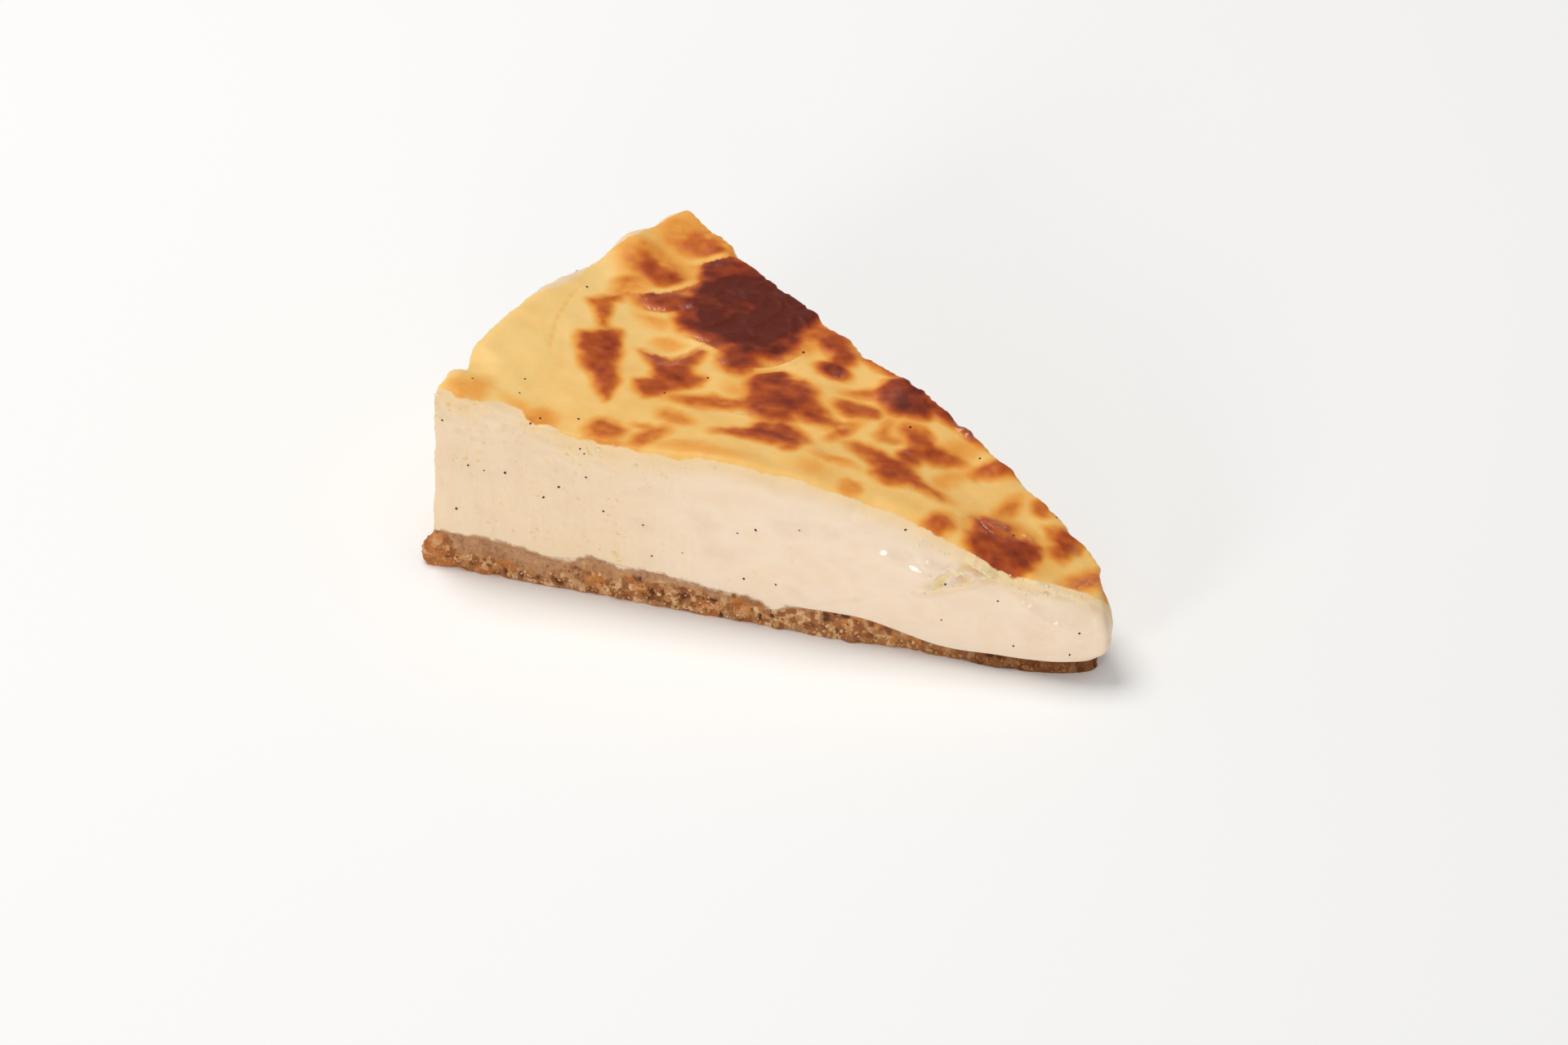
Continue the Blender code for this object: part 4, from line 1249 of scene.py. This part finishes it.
def make_crumbs(surface):
    """Loose biscuit grains that stand out of the base."""
    rng = np.random.default_rng(211)
    places, sizes, tones = [], [], []
    for _ in range(GRAIN_COUNT):
        pick = rng.uniform()
        low = rng.beta(*GRAINS_LOW)
        if pick < GRAINS_ON_FRONT + GRAINS_ON_BACK:
            along = rng.uniform(0.030, 0.1405)
            height = low * float(smooth_curve(SEAM_PROFILE, np.array([along]))[0]) * 0.9 + 0.0002
            place = (on_front if pick < GRAINS_ON_FRONT else on_back)(surface, along, height)
        else:
            place = on_rim(surface, rng.uniform(-0.262, 0.262), rng.uniform(0.0003, 0.0062))
        if place[0] is None:
            continue
        size = float(np.clip(rng.lognormal(math.log(GRAIN_SIZE), 0.45), 0.0002, 0.0011))
        at, faced = place[0] - place[1] * size * 0.15, place[1]
        from_centre = math.hypot(place[0].x - CENTRE[0], place[0].y - CENTRE[1])
        at.z = max(at.z, size * 0.7)
        places.append((at, faced))
        sizes.append(size)
        # grains get darker towards the tip: painted shade, as on the biscuit
        tones.append(rng.uniform() * (1 - 0.7 * float(tip_shade_share(from_centre))))
    piece = scattered("biscuit_grains", places, sizes, 0.8, tones, 213)
    piece.data.materials.append(grain_material())
    return piece


def shade(hex_colour):
    """A colour written as rrggbb, made linear."""
    parts = [int(hex_colour[k : k + 2], 16) / 255 for k in (0, 2, 4)]
    return (*[p / 12.92 if p <= 0.04045 else ((p + 0.055) / 1.055) ** 2.4 for p in parts], 1)


def new_material(name, **constants):
    """A material, its node tree and its shader, with the shader's constant inputs set."""
    material = bpy.data.materials.new(name)
    material.use_nodes = True
    tree = material.node_tree
    shader = tree.nodes["Principled BSDF"]
    for socket, value in constants.items():
        shader.inputs[socket.replace("_", " ")].default_value = value
    return material, tree, shader


def add(tree, kind, inputs=None, **settings):
    """A node with its settings. An input is a value, a colour as rrggbb or another node's output."""
    made = tree.nodes.new(kind)
    for name, value in settings.items():
        setattr(made, name, value)
    for socket, value in (inputs or {}).items():
        if isinstance(value, bpy.types.NodeSocket):
            tree.links.new(value, made.inputs[socket])
        else:
            made.inputs[socket].default_value = shade(value) if isinstance(value, str) else value
    return made


def attribute(tree, name):
    return add(tree, "ShaderNodeAttribute", attribute_name=name).outputs["Fac"]


def noise(tree, length, detail=2.0, roughness=0.5, stretch=None):
    """Noise from 0 to 1 whose grains are about the given length, in metres."""
    place = add(tree, "ShaderNodeTexCoord").outputs["Object"]
    if stretch:
        place = add(tree, "ShaderNodeMapping", {"Vector": place, "Scale": stretch}).outputs["Vector"]
    inputs = {"Vector": place, "Scale": 1 / length, "Detail": detail, "Roughness": roughness}
    return add(tree, "ShaderNodeTexNoise", inputs).outputs["Fac"]


def math_node(tree, operation, *values):
    return add(tree, "ShaderNodeMath", dict(enumerate(values)), operation=operation).outputs[0]


def plus(tree, a, b):
    return math_node(tree, "ADD", a, b)


def times(tree, a, b):
    return math_node(tree, "MULTIPLY", a, b)


def evenly(tree, value, amount):
    """Noise from 0 to 1 made to run from minus half the amount to plus half."""
    return math_node(tree, "MULTIPLY_ADD", value, amount, -amount / 2)


def spread(tree, value, low, high, to_low=0.0, to_high=1.0):
    """Carries low..high to to_low..to_high, smoothly and without going past them."""
    inputs = {"Value": value, "From Min": low, "From Max": high, "To Min": to_low, "To Max": to_high}
    return add(tree, "ShaderNodeMapRange", inputs, interpolation_type="SMOOTHSTEP").outputs["Result"]


def specks(tree, low, high, amount, *grain):
    """Scattered specks: 0 where the noise is under low, the amount where it is over high."""
    return spread(tree, noise(tree, *grain), low, high, 0.0, amount)


def mix(tree, factor, a, b):
    return add(tree, "ShaderNodeMix", {0: factor, 6: a, 7: b}, data_type="RGBA").outputs[2]


def ramp(tree, value, *stops):
    made = add(tree, "ShaderNodeValToRGB", {"Fac": value})
    elements = made.color_ramp.elements
    while len(elements) < len(stops):
        elements.new(0.5)
    for element, (at, colour) in zip(elements, stops):
        element.position = at
        element.color = shade(colour)
    return made.outputs["Color"]


def bump(tree, height, distance, normal=None):
    inputs = {"Height": height, "Distance": distance}
    if normal is not None:
        inputs["Normal"] = normal
    return add(tree, "ShaderNodeBump", inputs).outputs["Normal"]


def skin_tone(tree):
    """The browned skin: browning from the mesh, broken up by finer stains."""
    browning = attribute(tree, "browning")
    inside = spread(tree, browning, 0.08, 0.45, 0.45, 1.0)
    fine = evenly(tree, noise(tree, 0.0017, 4.0, 0.65), 0.16)
    stains = plus(tree, fine, evenly(tree, noise(tree, 0.0055, 3.0, 0.55), 0.26))
    total = plus(tree, browning, times(tree, stains, inside))
    return ramp(tree, math_node(tree, "DIVIDE", total, BROWNING_RANGE), *BROWNS)


def smear_share(tree):
    """1 in the brown smear, 0 in the cream, with a ragged soft border."""
    ragged = evenly(tree, noise(tree, 0.0016, 4.0, 0.6), 2.0)
    return spread(tree, plus(tree, attribute(tree, "above"), ragged), -0.35, 0.55, 1.0, 0.0)


def cream_tone(tree):
    """The cut cream: warmer under the skin, grainy at the rim, streaked where torn, tan at the seam."""
    skin, torn, wall = attribute(tree, "skin"), attribute(tree, "torn"), attribute(tree, "wall")
    grainy = attribute(tree, "grainy")
    clouds = noise(tree, 0.009, 3.0, 0.5, (1, 1, 1.6))
    cream = ramp(tree, clouds, (0.30, "EED6BC"), (0.50, "F4DFC6"), (0.72, "F2D9BC"))
    cream = mix(tree, spread(tree, grainy, 0.0, 1.0, 0.0, 0.55), cream, "EDD1A9")
    cream = mix(tree, spread(tree, skin, -3.8, 0.0, 0.0, 0.80), cream, "F0D09C")
    drags = specks(tree, 0.52, 0.75, 0.30, 0.0016, 2.0, 0.5, (1, 1, 0.12))
    cream = mix(tree, times(tree, drags, grainy), cream, "E6CBAE")
    cream = mix(tree, specks(tree, 0.69, 0.76, 0.40, 0.0016, 2.0, 0.4, (1, 1, 1.3)), cream, "EBCB8A")
    flecks = specks(tree, 0.60, 0.72, 0.80, 0.0011, 2.0, 0.5, (1, 1, 1.2))
    flecks = times(tree, flecks, specks(tree, 0.42, 0.62, 1.0, 0.006))
    cream = mix(tree, times(tree, flecks, grainy), cream, "E6BF78")
    streaks = specks(tree, 0.50, 0.66, 0.9, 0.0020)
    cream = mix(tree, times(tree, streaks, torn), cream, "EDDA9C")
    wall = times(tree, wall, spread(tree, skin, -3.0, -6.0))
    wall_tone = ramp(tree, noise(tree, 0.006, 3.0, 0.6, (1, 1, 0.5)), (0.35, "F0D7AC"), (0.65, "EBC488"))
    cream = mix(tree, times(tree, wall, 0.8), cream, wall_tone)
    return mix(tree, smear_share(tree), cream, SMEAR_COLOUR)


def cheese_material():
    """Browned skin above, soft cream on the cuts, set apart by the signed reach of the skin."""
    material, tree, shader = new_material(
        "cheese",
        Coat_Roughness=0.18,
        Coat_IOR=1.6,
        Subsurface_Weight=0.22,
        Subsurface_Radius=(1.0, 0.55, 0.28),
        Subsurface_Scale=0.0018,
        Specular_IOR_Level=0.14,
    )
    skin, wet = attribute(tree, "skin"), attribute(tree, "wet")
    edge = plus(tree, skin, evenly(tree, noise(tree, 0.0011, 3.0), 0.9))
    has_skin = spread(tree, edge, -0.16, 0.20)
    tree.links.new(mix(tree, has_skin, cream_tone(tree), skin_tone(tree)), shader.inputs["Base Color"])

    skin_rough = spread(tree, noise(tree, 0.0030, 3.0, 0.6), 0.3, 0.7, 0.36, 0.50)
    cream_rough = spread(tree, noise(tree, 0.0045, 3.0, 0.6), 0.35, 0.7, 0.42, 0.56)
    rough = add(tree, "ShaderNodeMix", {0: has_skin, 2: cream_rough, 3: skin_rough}).outputs[0]
    tree.links.new(rough, shader.inputs["Roughness"])

    broken = specks(tree, 0.34, 0.50, 1.0, 0.0010, 3.0, 0.6)
    tree.links.new(times(tree, wet, broken), shader.inputs["Coat Weight"])

    pores = bump(tree, noise(tree, 0.0007, 3.0, 0.6), 0.000020)
    soft = bump(tree, noise(tree, 0.0028, 3.0, 0.5), 0.00006, pores)
    beads = times(tree, noise(tree, 0.00060, 2.0), times(tree, wet, has_skin))
    normal = bump(tree, beads, 0.00022, soft)
    tree.links.new(normal, shader.inputs["Normal"])
    tree.links.new(normal, shader.inputs["Coat Normal"])
    return material


def crumb_tone(tree):
    """Bare pressed crumb: each crumb its own tan, with painted shade in the pits, more orange at the outer
    rim.
    """
    lump, crumb, depth = attribute(tree, "lump"), attribute(tree, "crumb"), attribute(tree, "depth")
    stops = ((0.0, "8A5433"), (0.30, "A4693F"), (0.58, "B9814F"), (0.80, "D3A471"), (1.0, "E3BE90"))
    tone = ramp(tree, crumb, *stops)
    tone = mix(tree, spread(tree, lump, 0.74, 0.80, 0.0, 0.55), tone, "CC7C38")
    tone = mix(tree, spread(tree, lump, 0.34, 0.28, 0.0, 0.50), tone, "8A4A28")
    # painted shade: darker brown where the crumb relief sinks into pits and gaps
    tone = mix(tree, spread(tree, depth, 0.0, -1.1, 0.0, 0.90), tone, "4E2814")
    tone = mix(tree, specks(tree, 0.35, 0.75, 0.40, 0.0005, 3.0, 0.6), tone, "8A5633")
    outer = times(tree, attribute(tree, "outer"), specks(tree, 0.35, 0.6, 1.0, 0.0014))
    return mix(tree, times(tree, outer, 0.6), tone, "C8763A")


def paste_tone(tree):
    """Crumb and cream wiped together by the knife."""
    paste = noise(tree, 0.0026, 4.0, 0.65)
    paste = ramp(tree, paste, (0.30, "986843"), (0.50, "B8875E"), (0.72, "C4956B"))
    return mix(tree, specks(tree, 0.52, 0.66, 0.55, 0.0006, 3.0, 0.6), paste, "8A5A3A")


def biscuit_material():
    """Pressed crumbs, smeared with cream where the knife passed."""
    material, tree, shader = new_material("biscuit", Specular_IOR_Level=0.25)
    smear = attribute(tree, "smear")
    colour = mix(tree, times(tree, smear, 0.92), crumb_tone(tree), paste_tone(tree))
    colour = mix(tree, smear_share(tree), "ECD2B2", colour)
    # painted shade: darker brown towards the tip, where the cream hangs over the biscuit
    colour = mix(tree, times(tree, attribute(tree, "tip_shade"), 0.78), colour, "6E3C1D")
    tree.links.new(colour, shader.inputs["Base Color"])
    tree.links.new(spread(tree, smear, 0.0, 1.0, 0.80, 0.55), shader.inputs["Roughness"])
    tree.links.new(bump(tree, noise(tree, 0.00035, 3.0, 0.7), 0.00008), shader.inputs["Normal"])
    return material


def cheese_crumb_material():
    material, tree, shader = new_material(
        "cheese crumbs",
        Roughness=0.45,
        Subsurface_Weight=0.2,
        Subsurface_Radius=(1.0, 0.6, 0.35),
        Subsurface_Scale=0.001,
        Specular_IOR_Level=0.3,
    )
    stops = ((0.0, "F2DCC0"), (0.55, "F3DFC0"), (0.8, "F1DDAC"), (0.95, "EDD294"), (1.0, "E4B874"))
    tree.links.new(ramp(tree, attribute(tree, "tone"), *stops), shader.inputs["Base Color"])
    return material


def grain_material():
    material, tree, shader = new_material("biscuit grains", Roughness=0.75, Specular_IOR_Level=0.3)
    stops = ((0.0, "7A4A2A"), (0.3, "A8743F"), (0.55, "C98F4E"), (0.8, "DDB07C"), (1.0, "E7C596"))
    colour = ramp(tree, attribute(tree, "tone"), *stops)
    colour = mix(tree, specks(tree, 0.4, 0.7, 0.4, 0.0003), colour, "96602F")
    tree.links.new(colour, shader.inputs["Base Color"])
    tree.links.new(bump(tree, noise(tree, 0.00018), 0.00005), shader.inputs["Normal"])
    return material


def seed_material():
    material, tree, shader = new_material("vanilla seeds", Roughness=0.45)
    colour = ramp(tree, noise(tree, 0.0002, 1.0), (0.3, "0D0B09"), (0.7, "1E1712"))
    tree.links.new(colour, shader.inputs["Base Color"])
    return material


def floor_material():
    material, tree, shader = new_material("pale floor", Roughness=0.6, Specular_IOR_Level=0.2)
    colour = ramp(tree, noise(tree, 0.4), (0.3, "FDFDFC"), (0.7, "FFFFFF"))
    tree.links.new(colour, shader.inputs["Base Color"])
    return material


def make_floor():
    bm = bmesh.new()
    bmesh.ops.create_grid(bm, x_segments=1, y_segments=1, size=FLOOR_HALF)
    mesh = bpy.data.meshes.new("floor")
    bm.to_mesh(mesh)
    bm.free()
    mesh.materials.append(floor_material())
    floor = bpy.data.objects.new("floor", mesh)
    bpy.context.collection.objects.link(floor)


def view_axes():
    a, e = VIEW_AZIMUTH, VIEW_ELEVATION
    back = Vector((math.sin(a) * math.cos(e), -math.cos(a) * math.cos(e), math.sin(e)))
    right = Vector((math.cos(a), math.sin(a), 0))
    return back, right, back.cross(right)


def make_camera():
    back, right, up = view_axes()
    eye = VIEW_TARGET + back * VIEW_DISTANCE
    aim = VIEW_TARGET + right * VIEW_ASIDE[0] + up * VIEW_ASIDE[1]
    data = bpy.data.cameras.new("camera")
    data.lens = LENS
    data.sensor_width = SENSOR_WIDTH
    data.clip_start = CLIP_START
    camera = bpy.data.objects.new("camera", data)
    camera.location = eye
    camera.rotation_euler = (aim - eye).to_track_quat("-Z", "Y").to_euler()
    bpy.context.collection.objects.link(camera)
    bpy.context.scene.camera = camera


def make_light(name, direction, distance, size, power, colour):
    data = bpy.data.lights.new(name, "AREA")
    data.shape = "DISK"
    data.size = size
    data.energy = power
    data.color = colour
    lamp = bpy.data.objects.new(name, data)
    lamp.location = Vector(direction).normalized() * distance
    lamp.rotation_euler = (-lamp.location).to_track_quat("-Z", "Y").to_euler()
    bpy.context.collection.objects.link(lamp)


def make_lights():
    """A pale room with a large soft lamp above on the left and two weaker ones in front."""
    world = bpy.data.worlds.new("pale room")
    world.use_nodes = True
    background = world.node_tree.nodes["Background"]
    background.inputs["Color"].default_value = (1, 1, 1, 1)
    background.inputs["Strength"].default_value = ROOM_LIGHT
    bpy.context.scene.world = world
    for lamp in LAMPS:
        make_light(*lamp)
    bpy.context.scene.view_settings.view_transform = "Standard"
    bpy.context.scene.view_settings.look = "None"


def main():
    make_camera()
    make_lights()
    make_floor()

    cheese = make_cheese()
    cheese.data.materials.append(cheese_material())
    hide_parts("cheese_filling")
    biscuit = make_biscuit()
    biscuit.data.materials.append(biscuit_material())
    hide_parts("biscuit_base")
    seeds = make_seeds(tree_of(cheese))
    cheese_crumbs = make_cheese_crumbs(tree_of(cheese))
    crumbs = make_crumbs(tree_of(biscuit))
    for piece, finish in (
        (cheese, "baked_cheese"),
        (seeds, "baked_cheese"),
        (cheese_crumbs, "baked_cheese"),
        (biscuit, "biscuit"),
        (crumbs, "biscuit"),
    ):
        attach(piece, "root")


main()
